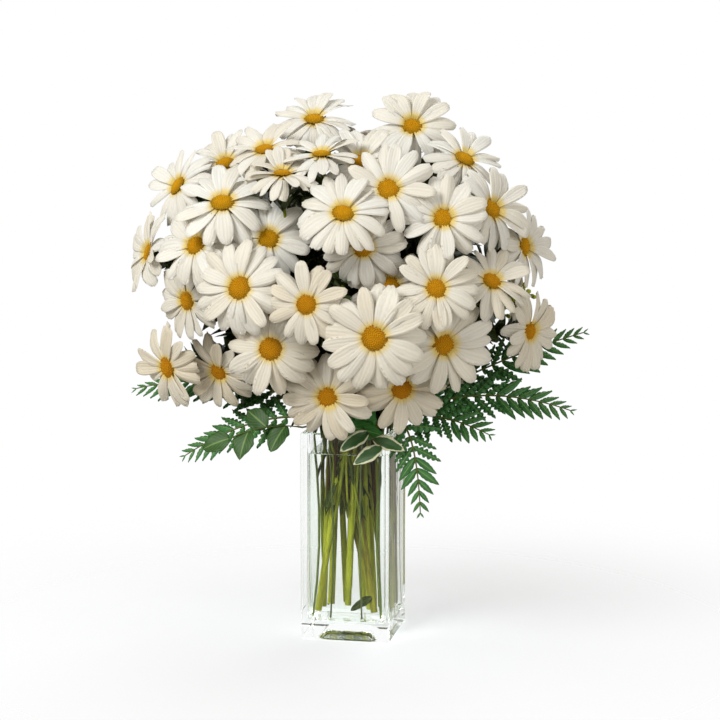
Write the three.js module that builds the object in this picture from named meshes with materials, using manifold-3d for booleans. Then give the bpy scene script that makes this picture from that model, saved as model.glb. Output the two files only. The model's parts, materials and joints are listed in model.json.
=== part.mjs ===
// Daisies in a square glass vase, in millimetres, +Z up, front towards -Y.
// The origin is at the middle of the vase's underside.
import * as THREE from 'three';
import { mergeVertices } from 'three/addons/utils/BufferGeometryUtils.js';
import Module from 'manifold-3d';

const wasm = await Module();
wasm.setup();

// ---- driving dimensions -------------------------------------------------------------------

const gap = 0.3; // left between pieces that touch
const tidy = 0.02; // how far slivers left by a cut may be smoothed away

const vaseSize = { width: 80, height: 184, wall: 5, base: 16, edge: 2, innerCorner: 7 };
const waterTop = 165;

const stemSize = { radius: 2.6, tip: 1.8, branch: 1.5, sides: 5, branchSides: 4 };
const neck = new THREE.Vector3(-2, -4, 206); // where the stems are gathered, above the mouth
const hubShare = 0.62; // how far from the neck to its blooms a main stem reaches
const coreSize = { x: 34, y: 34, z: 24, up: 9.3 }; // the low leaves packed round the neck
const branchSpan = { from: 0.6, to: 0.95 }; // where branches leave the bend of their main stem
const bendPull = { stem: 0.4, bloom: 0.45 }; // how long a stem keeps its way before it bends

// Petals: thickness of the keel, step between the two layers, how high they stand and how far
// their tips drop, in mm. The middle, half width and tip are shares of the bloom's reach.
const petalSize = {
  count: 12, keel: 1.5, layer: 1.1, stand: 0.9, drop: 2, middle: 0.62, half: 0.163, tip: 0.09,
};
const petalSway = { turn: 0.1, reach: 0.06, cup: 0.04, cupAtTip: 0.4, tip: 0.05, width: 0.2 };
const discSize = { radius: 0.235, height: 0.085, ring: 0.6, ringDip: 0.75, crown: 0.85 };
const calyxSize = { radius: 0.18, depth: 8, seat: 0.345 }; // the green cup, `seat` below the petals

const blade = 0.8; // thickness of leaves and fronds
const goldenAngle = THREE.MathUtils.degToRad(137.5);
const leafSize = {
  length: 32, half: 8.6, widest: 0.4, sag: 0.12, lean: 0.4, perStem: 2, from: 0.5, to: 0.58,
};

// Each spray is one main stem: its foot in the vase, where it passes the mouth, and its blooms.
// A bloom is [across, back, up, turn, rise, radius]: its place in mm, the way it faces
// (turn to the right of straight ahead, rise above level, in degrees) and its petals' reach.
// The blooms of a spray are listed from the lowest up.
const sprays = {
  a: {
    foot: [-8, 24, 24], mouth: [-12, 3],
    blooms: [
      [-40, -98, 410, 11, 80, 32], [-111, -20, 418, -20, 55, 36],
      [-64, -62, 430, -9, 66, 36], [-33, -10, 456, 11, 65, 37],
    ],
  },
  b: {
    foot: [8, 20, 22], mouth: [2, 2],
    blooms: [[20, -70, 420, 11, 50, 36], [-10, -84, 426, 1, 78, 33], [52, 0, 450, 16, 32, 38]],
  },
  c: {
    foot: [16, 4, 22], mouth: [12, -10],
    blooms: [
      [94, -94, 374, 14, 15, 37], [129, -50, 380, 56, 22, 38],
      [50, -101, 398, 11, 17, 39], [102, -28, 422, 50, 50, 36],
    ],
  },
  d: {
    foot: [27, 8, 24], mouth: [20, -5],
    blooms: [[156, 0, 273, 63, -3, 35], [132, -74, 322, 36, 42, 35], [153, -22, 348, 73, 7, 36]],
  },
  e: {
    foot: [0, -16, 44], mouth: [6, -18],
    blooms: [[95, -94, 270, 33, 2, 43], [91, -110, 318, 16, 19, 37], [50, -98, 318, 11, 22, 36]],
  },
  f: {
    foot: [-28, -14, 22], mouth: [-3, -18],
    blooms: [
      [-3, -96, 224, -4, -8, 39], [59, -86, 231, 19, -8, 38],
      [-46, -118, 266, 6, 2, 40], [45, -137, 279, 11, 7, 44],
    ],
  },
  g: {
    foot: [24, -22, 24], mouth: [-1, -13],
    blooms: [[-11, -137, 305, 1, 7, 35], [30, -108, 350, 11, 6, 36], [16, -120, 379, 11, 45, 39]],
  },
  h: {
    foot: [22, -8, 24], mouth: [-16, -14],
    blooms: [
      [-71, -124, 317, -14, 12, 42], [-53, -94, 356, 12, 22, 38],
      [-116, -97, 350, -19, 27, 37], [-92, -96, 386, 3, 52, 42],
    ],
  },
  i: {
    foot: [-25, -4, 24], mouth: [-18, -5],
    blooms: [
      [-112, -44, 236, -19, -24, 35], [-159, -43, 239, -39, -8, 39], [-132, -70, 301, -34, -3, 36],
      [-177, -36, 340, -64, 17, 37], [-152, -28, 398, -49, 32, 37],
    ],
  },
  j: {
    foot: [-20, 10, 24], mouth: [-14, 14],
    blooms: [
      [-105, 88, 258, -140, -6, 39], [-145, 55, 318, -112, 8, 40],
      [-62, 100, 372, -155, 24, 40], [-120, 52, 395, -128, 30, 39],
    ],
  },
  k: {
    foot: [-4, 6, 24], mouth: [0, 14],
    blooms: [
      [-12, 98, 234, -172, -10, 39], [-28, 124, 306, -170, 8, 41],
      [14, 118, 384, 172, 25, 40], [-18, 62, 440, 178, 62, 39],
    ],
  },
  l: {
    foot: [18, 20, 24], mouth: [12, 8],
    blooms: [
      [78, 88, 242, 138, -8, 39], [134, 68, 300, 116, 6, 39], [62, 116, 318, 158, 8, 40],
      [112, 72, 368, 128, 22, 39], [66, 62, 424, 145, 48, 39],
    ],
  },
};

// What stands in the vase beside the daisies: a stalk from its foot past the mouth to `start`,
// then an arch over `crown` to `tip`. `faces` is the way that the upper side of its blades turns.
const fronds = {
  fern_left_low: {
    foot: [-31, -26], mouth: [-31, -24], start: [-50, -26, 196], crown: [-96, -26, 194],
    tip: [-148, -40, 158], faces: [-0.2, -0.7, 0.7], length: 32,
  },
  fern_left_high: {
    foot: [-31, 12], mouth: [-31, 12], start: [-56, 14, 208], crown: [-130, 14, 232],
    tip: [-208, 2, 212], faces: [0, -0.6, 0.8], length: 34,
  },
  fern_right_low: {
    foot: [31, -24], mouth: [31, -24], start: [48, -45, 200], crown: [68, -62, 192],
    tip: [70, -58, 116], faces: [0.2, -0.95, 0.2], length: 28,
  },
  fern_right_level: {
    foot: [31, -8], mouth: [32, -6], start: [50, -14, 198], crown: [86, -34, 206],
    tip: [130, -50, 188], faces: [0, -0.75, 0.66], length: 28,
  },
  fern_right_middle: {
    foot: [31, 8], mouth: [32, 10], start: [56, 14, 202], crown: [120, 18, 226],
    tip: [196, 8, 202], faces: [0, -0.7, 0.7], length: 32,
  },
  fern_right_high: {
    foot: [29, 29], mouth: [30, 28], start: [56, 36, 206], crown: [122, 54, 244],
    tip: [204, 46, 270], faces: [0.1, -0.8, 0.6], length: 32,
  },
  fern_back: {
    foot: [-26, 31], mouth: [-20, 31], start: [-34, 50, 198], crown: [-50, 84, 204],
    tip: [-66, 124, 176], faces: [0, 0.6, 0.8], length: 32,
  },
};
const frondSize = { pairs: 7, rib: 1.3, taper: 0.6, tip: 0.6, shortest: 4, sweep: 0.55, hang: 0.1 };
const stalkSize = { radius: 1.4, twig: 0.84, sides: 5, above: 3, overRim: 2, bend: 8, stub: 4 };

const sprigs = {
  leaves_variegated: {
    foot: [14, -31], mouth: [14, -31], start: [18, -48, 191], crown: [26, -60, 188],
    tip: [38, -66, 178], faces: [0.1, -0.9, 0.4], leaves: 3, length: 27, half: 9,
  },
  leaves_round: {
    foot: [-14, -31], mouth: [-16, -31], start: [-36, -46, 190], crown: [-66, -58, 196],
    tip: [-97, -66, 181], faces: [-0.2, -0.8, 0.5], leaves: 4, length: 26, half: 10,
  },
};

const budSpray = {
  foot: [8, 31], mouth: [14, 31], start: [44, 44, 216], crown: [96, 30, 268],
  tip: [152, 18, 306], buds: 6, radius: 3.8, twig: 9,
};
// Stations along a broad leaf: how far along, how wide, and how its edge waves, in mm.
const broadLeafSize = {
  stations: [[0.25, 0.85, 1], [0.55, 1, -1], [0.82, 0.62, 1]],
  fold: 1.6, sag: 0.22, seat: 0.94, sway: 1.4, tipSway: 0.2,
};

const budShare = { from: 0.8, to: 1, lean: 0.6, sway: 0.3, turn: 2.4, roll: 0.3, twig: 0.7 };

// ---- materials ----------------------------------------------------------------------------

const finish = (color, roughness, more = {}) =>
  new THREE.MeshStandardMaterial({ color, roughness, metalness: 0, ...more });

const materials = {
  glass: finish(0xe9f1f0, 0.04, { transparent: true, opacity: 0.3 }),
  water: finish(0xe3ece6, 0.03, { transparent: true, opacity: 0.25 }),
  petal: finish(0xf3efe6, 0.6),
  stem: finish(0x5f7a2c, 0.6),
  fern: finish(0x1f5a28, 0.55),
  variegated: finish(0x9db374, 0.5),
  roundLeaf: finish(0x2f5228, 0.5),
  bud: finish(0xb5c23a, 0.7),
};

// ---- small tools --------------------------------------------------------------------------

const vector = (list) => new THREE.Vector3(...list);
const group = new THREE.Group();

function addMesh(name, solid, material) {
  const mesh = new THREE.Mesh(geometryOf(solid), material);
  mesh.name = name;
  group.add(mesh);
}

// A closed mesh from a list of points and a list of triangles.
function meshGeometry(points, faces) {
  const geometry = new THREE.BufferGeometry();
  const numbers = points.flatMap((point) => point.toArray());
  geometry.setAttribute('position', new THREE.Float32BufferAttribute(numbers, 3));
  geometry.setIndex(faces.flat());
  return geometry;
}

function solidOf(geometry) {
  const bare = geometry.clone();
  bare.deleteAttribute('normal');
  bare.deleteAttribute('uv');
  const merged = mergeVertices(bare, 1e-4);
  const vertProperties = new Float32Array(merged.attributes.position.array);
  const triVerts = new Uint32Array(merged.index.array);
  return new wasm.Manifold(new wasm.Mesh({ numProp: 3, vertProperties, triVerts }));
}

function geometryOf(solid) {
  const mesh = solid.getMesh();
  const geometry = new THREE.BufferGeometry();
  geometry.setAttribute('position', new THREE.Float32BufferAttribute(mesh.vertProperties, 3));
  geometry.setIndex(new THREE.Uint32BufferAttribute(mesh.triVerts, 1));
  return geometry;
}

// Joins solids two by two, so that the work stays small.
function joined(solids) {
  if (solids.length === 1) return solids[0];
  const half = Math.ceil(solids.length / 2);
  return joined(solids.slice(0, half)).add(joined(solids.slice(half)));
}

// The outer skin of the largest body: loose scraps of a cut are dropped, sealed hollows filled.
function largestBody(solid) {
  return solid.decompose().reduce((best, body) => (body.volume() > best.volume() ? body : best));
}

// Repeatable draws between -1 and 1.
function makeDraws(seed) {
  let state = seed;
  return () => {
    state = (state * 1664525 + 1013904223) % 4294967296;
    return state / 2147483648 - 1;
  };
}

// A round, tapering tube through the given points, closed at both ends.
function tube(points, radii, sides) {
  const rings = points.map((point, i) => {
    const before = points[Math.max(i - 1, 0)];
    const after = points[Math.min(i + 1, points.length - 1)];
    return { point, along: after.clone().sub(before).normalize(), radius: radii[i] };
  });
  const vertices = [];
  const faces = [];
  const side = new THREE.Vector3(1, 0, 0);
  if (Math.abs(rings[0].along.x) > 0.9) side.set(0, 1, 0);
  for (const { point, along, radius } of rings) {
    side.addScaledVector(along, -side.dot(along)).normalize();
    const up = along.clone().cross(side);
    for (let k = 0; k < sides; k += 1) {
      const angle = (2 * Math.PI * k) / sides;
      vertices.push(point.clone()
        .addScaledVector(side, radius * Math.cos(angle))
        .addScaledVector(up, radius * Math.sin(angle)));
    }
  }
  for (let i = 0; i + 1 < rings.length; i += 1) {
    for (let k = 0; k < sides; k += 1) {
      const next = (k + 1) % sides;
      const [a, b] = [i * sides + k, i * sides + next];
      faces.push([a, b, b + sides], [a, b + sides, a + sides]);
    }
  }
  const last = (rings.length - 1) * sides;
  for (let k = 1; k + 1 < sides; k += 1) {
    faces.push([0, k + 1, k], [last, last + k, last + k + 1]);
  }
  return solidOf(meshGeometry(vertices, faces));
}

// ---- vase and water -----------------------------------------------------------------------

function roundedSquare(half, corner) {
  const shape = new THREE.Shape();
  const flat = half - corner;
  shape.moveTo(-flat, -half);
  shape.lineTo(flat, -half);
  shape.absarc(flat, -flat, corner, -Math.PI / 2, 0);
  shape.lineTo(half, flat);
  shape.absarc(flat, flat, corner, 0, Math.PI / 2);
  shape.lineTo(-flat, half);
  shape.absarc(-flat, flat, corner, Math.PI / 2, Math.PI);
  shape.lineTo(-half, -flat);
  shape.absarc(-flat, -flat, corner, Math.PI, 1.5 * Math.PI);
  return shape;
}

function squareBlock(half, corner, bottom, top, curveSegments) {
  const options = { depth: top - bottom, bevelEnabled: false, curveSegments };
  const geometry = new THREE.ExtrudeGeometry(roundedSquare(half, corner), options);
  return solidOf(geometry.translate(0, 0, bottom));
}

const { width, height, wall, base, edge, innerCorner } = vaseSize;
const cavityHalf = width / 2 - wall;

function vase() {
  const outside = squareBlock(width / 2, edge, 0, height, 2);
  const cavity = squareBlock(cavityHalf, innerCorner, base, height + 1, 3);
  return outside.subtract(cavity);
}

function water() {
  return squareBlock(cavityHalf - gap, innerCorner - gap, base + gap, waterTop, 3);
}

// ---- blooms -------------------------------------------------------------------------------

// One record for each bloom, with the frame that its petals and disc are set in.
function readBloom(spray, index, [x, y, z, turn, rise, radius]) {
  const heading = THREE.MathUtils.degToRad(turn);
  const lift = THREE.MathUtils.degToRad(rise);
  const centre = new THREE.Vector3(x, y, z);
  const facing = new THREE.Vector3(
    Math.sin(heading) * Math.cos(lift), -Math.cos(heading) * Math.cos(lift), Math.sin(lift));
  const across = new THREE.Vector3(Math.cos(heading), Math.sin(heading), 0);
  const frame = new THREE.Matrix4().makeBasis(across, facing.clone().cross(across), facing);
  frame.setPosition(centre);
  return { name: `${spray}${index + 1}`, centre, facing, radius, frame };
}

for (const [letter, spray] of Object.entries(sprays)) {
  spray.heads = spray.blooms.map((row, index) => readBloom(letter, index, row));
}
const heads = Object.values(sprays).flatMap((spray) => spray.heads);

const polar = (reach, angle, up) =>
  new THREE.Vector3(reach * Math.cos(angle), reach * Math.sin(angle), up);

// One bloom. Its petals are keeled blades in two layers, widest past their middle, with blunt
// tips, every other one riding over its neighbours. Its disc is a low dome of florets, drawn as
// a relief of rising and falling points. Its underside is flat, to sit on the green cup.
function bloom(head, seed) {
  const draw = makeDraws(seed);
  const count = petalSize.count;
  const step = (2 * Math.PI) / count;
  const hub = discSize.radius * head.radius;
  const dome = discSize.height * head.radius;
  const { keel: depth, layer } = petalSize;
  const half = petalSize.half * head.radius;
  const cup = petalSway.cup * draw();
  const points = [polar(0, 0, -depth), polar(0, 0, discSize.crown * dome)];
  const faces = [];
  const perPetal = 8;
  for (let k = 0; k < count; k += 1) {
    const upper = k % 2 === 1;
    const angle = step * (k + 0.5);
    const swing = angle + petalSway.turn * step * draw();
    const reach = head.radius * (1 + petalSway.reach * draw());
    const middle = petalSize.middle * reach;
    const lift = (upper ? layer : -layer) + cup * middle + petalSize.stand;
    const curl = petalSway.cupAtTip * cup + petalSway.tip * draw();
    const end = lift - petalSize.drop + curl * reach;
    const tip = petalSize.tip * head.radius * (1 + petalSway.width * draw());
    const sideways = polar(1, swing + Math.PI / 2, 0);
    const place = (distance, offset, up) =>
      polar(distance, swing, up).addScaledVector(sideways, offset);
    points.push(
      polar(hub, step * k, 0), polar(hub, angle, -depth),
      place(middle, -half, lift), place(middle, half, lift), place(middle, 0, lift - depth),
      place(reach, -tip, end), place(reach, tip, end),
      polar(discSize.ring * hub, step * k, (upper ? 1 : discSize.ringDip) * dome));
    const own = Array.from({ length: perPetal }, (_, i) => 2 + perPetal * k + i);
    const next = (i) => 2 + perPetal * ((k + 1) % count) + i;
    const last = (i) => 2 + perPetal * ((k + count - 1) % count) + i;
    const [root, keel, right, left, rib, tipRight, tipLeft, floret] = own;
    faces.push(
      [root, right, left], [root, left, next(0)], [right, tipRight, tipLeft], [right, tipLeft, left],
      [root, keel, rib], [root, rib, right], [keel, next(0), left], [keel, left, rib],
      [right, rib, tipRight], [rib, left, tipLeft], [rib, tipLeft, tipRight],
      [keel, root, last(1)], [0, keel, last(1)],
      [root, next(0), next(7)], [root, next(7), floret], [floret, next(7), 1]);
  }
  return solidOf(meshGeometry(points, faces).applyMatrix4(head.frame));
}

// A petal that would run through an earlier bloom is cut short where it meets it, and so is one
// that would run through a stem.
function clearBlooms(stemRoom) {
  const done = [];
  heads.forEach((head, i) => {
    let solid = bloom(head, 11 + i).subtract(stemRoom);
    for (const other of done) {
      const near = other.head.centre.distanceTo(head.centre) < other.head.radius + head.radius;
      if (near && solid.intersect(other.solid).volume() > 0) {
        const shift = other.head.facing.clone().multiplyScalar(gap).toArray();
        const back = shift.map((value) => -value);
        const room = joined([other.solid, other.solid.translate(shift), other.solid.translate(back)]);
        solid = solid.subtract(room);
      }
    }
    done.push({ head, solid: largestBody(solid.simplify(tidy)) });
  });
  return done;
}

// ---- stems --------------------------------------------------------------------------------

// A pointed leaf: a flat blade from its root along `heading`, its upper side towards `faces`.
function leaf(root, heading, faces, length, half, spare) {
  const ahead = heading.clone().normalize();
  const side = ahead.clone().cross(faces).normalize();
  const up = side.clone().cross(ahead);
  const middle = leafSize.widest * length;
  const outline = [
    [-spare, 0], [middle, -half - spare], [length + spare, 0], [middle, half + spare],
  ];
  const points = [];
  for (const level of [blade / 2 + spare, -blade / 2 - spare]) {
    for (const [distance, offset] of outline) {
      const sag = leafSize.sag * length * (distance / length) ** 2;
      points.push(root.clone().addScaledVector(ahead, distance)
        .addScaledVector(side, offset).addScaledVector(up, level - sag));
    }
  }
  const walls = [0, 1, 2, 3].flatMap((k) => {
    const next = (k + 1) % 4;
    return [[k, k + 4, next + 4], [k, next + 4, next]];
  });
  const sheets = [[0, 1, 2], [0, 2, 3], [4, 6, 5], [4, 7, 6]];
  return solidOf(meshGeometry(points, [...sheets, ...walls]));
}

// Where a spray's main stem runs: straight in the vase, then bending outwards under its blooms.
function bendOf(spray) {
  const foot = vector(spray.foot);
  const mouth = new THREE.Vector3(...spray.mouth, height);
  const middle = new THREE.Vector3();
  for (const head of spray.heads) middle.addScaledVector(head.centre, 1 / spray.heads.length);
  const end = neck.clone().lerp(middle, hubShare);
  const rise = mouth.clone().sub(foot).normalize();
  const pull = mouth.clone().addScaledVector(rise, bendPull.stem * mouth.distanceTo(end));
  return { foot, rise, curve: new THREE.QuadraticBezierCurve3(mouth, pull, end) };
}

// From a root on the main stem to the back of a bloom, then out to the rim of its green cup.
function reachTo(head, root, spare) {
  const back = (distance) => head.centre.clone().addScaledVector(head.facing, -distance);
  const top = petalSize.keel + calyxSize.seat - spare;
  const bend = back(bendPull.bloom * root.distanceTo(head.centre));
  const curve = new THREE.QuadraticBezierCurve3(root, bend, back(top + calyxSize.depth));
  const thin = stemSize.branch + spare;
  return {
    points: [...curve.getPoints(2), back(top)],
    radii: [thin, thin, thin, calyxSize.radius * head.radius + spare],
  };
}

// The main stem ends in the last bloom of its spray.
function mainStem(spray, spare) {
  const { foot, rise, curve } = bendOf(spray);
  const bend = curve.getPoints(3);
  const last = reachTo(spray.heads.at(-1), bend.pop(), spare);
  const lower = [foot.addScaledVector(rise, -spare), ...bend];
  const { radius, tip } = stemSize;
  const radii = lower.map((_, i) => THREE.MathUtils.lerp(radius, tip, i / lower.length) + spare);
  return tube([...lower, ...last.points], [...radii, ...last.radii], stemSize.sides);
}

// The others branch off one after another on the way there.
function branch(spray, order, spare) {
  const share = order / (spray.heads.length - 1);
  const along = THREE.MathUtils.lerp(branchSpan.from, branchSpan.to, share);
  const root = bendOf(spray).curve.getPoint(along);
  const { points, radii } = reachTo(spray.heads[order], root, spare);
  return tube(points, radii, stemSize.branchSides);
}

// Leaves stand off each main stem between the mouth and its branches, each turned by the golden
// angle from the one before.
function foliage(spare) {
  const leaves = [];
  const { length, half, lean, perStem, from, to } = leafSize;
  Object.values(sprays).forEach((spray, i) => {
    const { curve } = bendOf(spray);
    for (let k = 0; k < perStem; k += 1) {
      const at = THREE.MathUtils.lerp(from, to, k / (perStem - 1));
      const ahead = curve.getTangent(at);
      const heading = new THREE.Vector3(0, 0, 1).cross(ahead).normalize();
      heading.applyAxisAngle(ahead, goldenAngle * (perStem * i + k)).addScaledVector(ahead, lean);
      leaves.push(leaf(curve.getPoint(at), heading, ahead, length, half, spare));
    }
  });
  return leaves;
}

function core(spare) {
  const ball = new THREE.IcosahedronGeometry(1, 0);
  ball.scale(coreSize.x + spare, coreSize.y + spare, coreSize.z + spare);
  return solidOf(ball.translate(neck.x, neck.y, neck.z + coreSize.up));
}

function stems(spare) {
  const pieces = [core(spare), ...foliage(spare)];
  for (const spray of Object.values(sprays)) {
    pieces.push(mainStem(spray, spare));
    spray.heads.slice(0, -1).forEach((_, order) => pieces.push(branch(spray, order, spare)));
  }
  return largestBody(joined(pieces)).simplify(tidy);
}

// ---- fern, leaves and buds -----------------------------------------------------------------

const archOf = ({ start, crown, tip }) =>
  new THREE.QuadraticBezierCurve3(vector(start), vector(crown), vector(tip));

// A sheet given a blade's thickness below, triangle for triangle, and walls round its outline.
function sheetSolid(upper, sheet, ups, outline) {
  const lower = upper.map((point, i) => point.clone().addScaledVector(ups[i], -blade));
  const under = upper.length;
  const faces = [...sheet, ...sheet.map(([a, b, c]) => [a + under, c + under, b + under])];
  outline.forEach((a, i) => {
    const b = outline[(i + 1) % outline.length];
    faces.push([a, a + under, b + under], [a, b + under, b]);
  });
  return solidOf(meshGeometry([...upper, ...lower], faces));
}

// The blade is one thin arched sheet: a rib with a pair of leaflets cut out at each step.
function frondBlade(plan) {
  const curve = archOf(plan);
  const { pairs, rib, taper, tip: beyond, shortest, sweep, hang } = frondSize;
  const upper = [];
  const ups = [];
  const sheet = [];
  const rim = { left: [], right: [] };
  const put = (point, up) => {
    upper.push(point);
    ups.push(up);
    return upper.length - 1;
  };
  const frameAt = (t) => {
    const ahead = curve.getTangent(t);
    const side = ahead.clone().cross(vector(plan.faces)).normalize();
    return { at: curve.getPoint(t), ahead, side, up: side.clone().cross(ahead) };
  };
  const spots = [];
  for (let i = 0; i <= pairs; i += 1) {
    const { at, side, up } = frameAt(i / (pairs + beyond));
    const half = rib * (1 - taper * (i / pairs));
    spots.push({
      left: put(at.clone().addScaledVector(side, -half), up),
      right: put(at.clone().addScaledVector(side, half), up),
    });
  }
  for (let i = 0; i < pairs; i += 1) {
    const share = (i + 0.5) / pairs;
    const { at, ahead, side, up } = frameAt((i + 0.5) / (pairs + beyond));
    const length = plan.length * (1 - share) ** 0.8 * (0.75 + share) + shortest;
    for (const [name, sign] of [['left', -1], ['right', 1]]) {
      const [root, next] = [spots[i][name], spots[i + 1][name]];
      const place = (out, on) => put(at.clone().addScaledVector(side, sign * out)
        .addScaledVector(ahead, on).addScaledVector(up, -hang * out), up);
      const tip = place(length, sweep * length);
      const bulge = place(0.5 * length, 0.02 * length);
      rim[name].push(root, bulge, tip);
      if (sign > 0) sheet.push([root, bulge, tip], [root, tip, next]);
      else sheet.push([root, tip, bulge], [root, next, tip]);
    }
    sheet.push([spots[i].left, spots[i].right, spots[i + 1].right]);
    sheet.push([spots[i].left, spots[i + 1].right, spots[i + 1].left]);
  }
  const { at, up } = frameAt(1);
  const tip = put(at, up);
  const end = spots[pairs];
  sheet.push([end.left, end.right, tip]);
  const outline = [...rim.right, end.right, tip, end.left, ...rim.left.reverse()];
  return sheetSolid(upper, sheet, ups, outline);
}

// The stalk in the vase and over the rim, and `onward` more points along the arch.
function stalk(plan, onward, spare) {
  const foot = new THREE.Vector3(...plan.foot, base + stalkSize.above - spare);
  const mouth = new THREE.Vector3(...plan.mouth, height + stalkSize.overRim);
  const arch = archOf(plan);
  const start = arch.getPoint(0);
  const bend = mouth.clone().add(new THREE.Vector3(0, 0, stalkSize.bend));
  const curve = new THREE.QuadraticBezierCurve3(mouth, bend, start);
  const lower = [foot, ...curve.getPoints(3)];
  const points = [...lower];
  if (onward === 0) points.push(start.addScaledVector(arch.getTangent(0), stalkSize.stub));
  for (let i = 1; i <= onward; i += 1) points.push(arch.getPoint(i / onward));
  const thick = (i) => (i > lower.length ? stalkSize.twig : stalkSize.radius) + spare;
  return tube(points, points.map((_, i) => thick(i)), stalkSize.sides);
}

// A broad leaf with a waved edge: left edge, midrib and right edge at each station.
function broadLeaf(root, heading, faces, length, half) {
  const ahead = heading.clone().normalize();
  const side = ahead.clone().cross(faces).normalize();
  const up = side.clone().cross(ahead);
  const { stations, fold, sag } = broadLeafSize;
  const at = (on, out, lift) => root.clone().addScaledVector(ahead, on * length)
    .addScaledVector(side, out).addScaledVector(up, lift - sag * length * on * on);
  const upper = [at(0, 0, 0)];
  for (const [on, share, wave] of stations) {
    upper.push(at(on, -half * share, fold + wave), at(on, 0, 0));
    upper.push(at(on, half * share, fold - wave));
  }
  upper.push(at(1, 0, 0));
  const sheet = [[0, 2, 1], [0, 3, 2], [7, 8, 10], [8, 9, 10]];
  for (const row of [1, 4]) {
    for (const k of [row, row + 1]) sheet.push([k, k + 1, k + 4], [k, k + 4, k + 3]);
  }
  return sheetSolid(upper, sheet, upper.map(() => up), [0, 3, 6, 9, 10, 7, 4, 1]);
}

// A stalk with broad leaves set left and right of its arch, the last at its tip.
function sprig(plan) {
  const arch = archOf(plan);
  const leaves = [];
  for (let i = 0; i < plan.leaves; i += 1) {
    const along = (i + broadLeafSize.seat) / plan.leaves;
    const ahead = arch.getTangent(along);
    const side = ahead.clone().cross(vector(plan.faces)).normalize();
    const atTip = i === plan.leaves - 1;
    const sway = atTip ? broadLeafSize.tipSway : broadLeafSize.sway * (i % 2 ? 1 : -1);
    const heading = ahead.clone().addScaledVector(side, sway);
    const root = arch.getPoint(along);
    leaves.push(broadLeaf(root, heading, vector(plan.faces), plan.length, plan.half));
  }
  return joined([stalk(plan, 3, 0), ...leaves]);
}

// A thin stalk with small round buds on short twigs round its upper end.
function buds(plan) {
  const arch = archOf(plan);
  const pieces = [stalk(plan, 4, 0)];
  const draw = makeDraws(5);
  for (let i = 0; i < plan.buds; i += 1) {
    const along = THREE.MathUtils.lerp(budShare.from, budShare.to, i / (plan.buds - 1));
    const ahead = arch.getTangent(along);
    const side = new THREE.Vector3(0, 0, 1).cross(ahead).normalize();
    side.applyAxisAngle(ahead, budShare.turn * i).addScaledVector(ahead, budShare.lean).normalize();
    const root = arch.getPoint(along);
    const length = plan.twig * (1 + budShare.sway * draw());
    const end = root.clone().addScaledVector(side, length);
    if (i === plan.buds - 1) end.copy(root);
    else pieces.push(tube([root, end], [budShare.twig, budShare.twig], 3));
    const bud = new THREE.IcosahedronGeometry(plan.radius, 0);
    pieces.push(solidOf(bud.rotateX(budShare.roll * i).translate(...end.toArray())));
  }
  return joined(pieces);
}

// ---- the whole ----------------------------------------------------------------------------

const stemRoom = stems(gap);
const leavesRound = sprigs.leaves_round;
const leavesVariegated = sprigs.leaves_variegated;
const stalkPlans = [...Object.values(fronds), ...Object.values(sprigs), budSpray];
const stalkRoom = joined(stalkPlans.map((plan) => stalk(plan, 0, gap)));

addMesh('vase', vase(), materials.glass);
addMesh('water', water().subtract(stemRoom).subtract(stalkRoom), materials.water);
addMesh('stems', stems(0), materials.stem);
for (const { head, solid } of clearBlooms(stemRoom)) {
  addMesh(`bloom_${head.name}`, solid, materials.petal);
}
for (const [name, plan] of Object.entries(fronds)) {
  addMesh(name, frondBlade(plan).add(stalk(plan, 0, 0)).simplify(tidy), materials.fern);
}
addMesh('leaves_variegated', sprig(leavesVariegated), materials.variegated);
addMesh('leaves_round', sprig(leavesRound), materials.roundLeaf);
addMesh('bud_spray', buds(budSpray), materials.bud);

export default group;
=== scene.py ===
import json
import math
import random
from functools import partial

import bpy
from mathutils import Matrix, Vector

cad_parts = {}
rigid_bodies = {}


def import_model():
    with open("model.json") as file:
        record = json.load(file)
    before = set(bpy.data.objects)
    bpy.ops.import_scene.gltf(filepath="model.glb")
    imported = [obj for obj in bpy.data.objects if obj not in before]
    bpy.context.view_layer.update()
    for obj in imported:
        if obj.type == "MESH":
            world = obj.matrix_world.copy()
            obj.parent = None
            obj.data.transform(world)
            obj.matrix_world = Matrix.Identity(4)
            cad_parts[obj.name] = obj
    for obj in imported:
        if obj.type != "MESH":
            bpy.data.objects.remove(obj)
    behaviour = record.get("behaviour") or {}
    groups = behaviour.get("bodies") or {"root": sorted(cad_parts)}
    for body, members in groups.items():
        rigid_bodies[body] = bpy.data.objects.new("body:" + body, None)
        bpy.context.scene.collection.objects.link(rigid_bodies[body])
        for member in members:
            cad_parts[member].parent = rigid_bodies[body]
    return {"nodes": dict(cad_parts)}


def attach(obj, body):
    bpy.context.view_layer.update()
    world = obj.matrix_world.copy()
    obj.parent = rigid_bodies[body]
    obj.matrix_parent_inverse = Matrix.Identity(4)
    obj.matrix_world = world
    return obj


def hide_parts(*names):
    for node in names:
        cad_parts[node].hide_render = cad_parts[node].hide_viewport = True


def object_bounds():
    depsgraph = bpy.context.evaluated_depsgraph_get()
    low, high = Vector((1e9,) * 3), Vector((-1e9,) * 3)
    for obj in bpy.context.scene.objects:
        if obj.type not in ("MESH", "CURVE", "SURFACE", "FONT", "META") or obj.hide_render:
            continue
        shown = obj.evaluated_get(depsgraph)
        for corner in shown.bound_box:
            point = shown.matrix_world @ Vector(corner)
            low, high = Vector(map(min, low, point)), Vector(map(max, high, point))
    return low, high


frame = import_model()
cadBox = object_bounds()
scene = bpy.context.scene
mm = 0.001
goldenAngle = math.radians(137.508)
unturned = Matrix.Identity(4)


# Small tools

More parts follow.
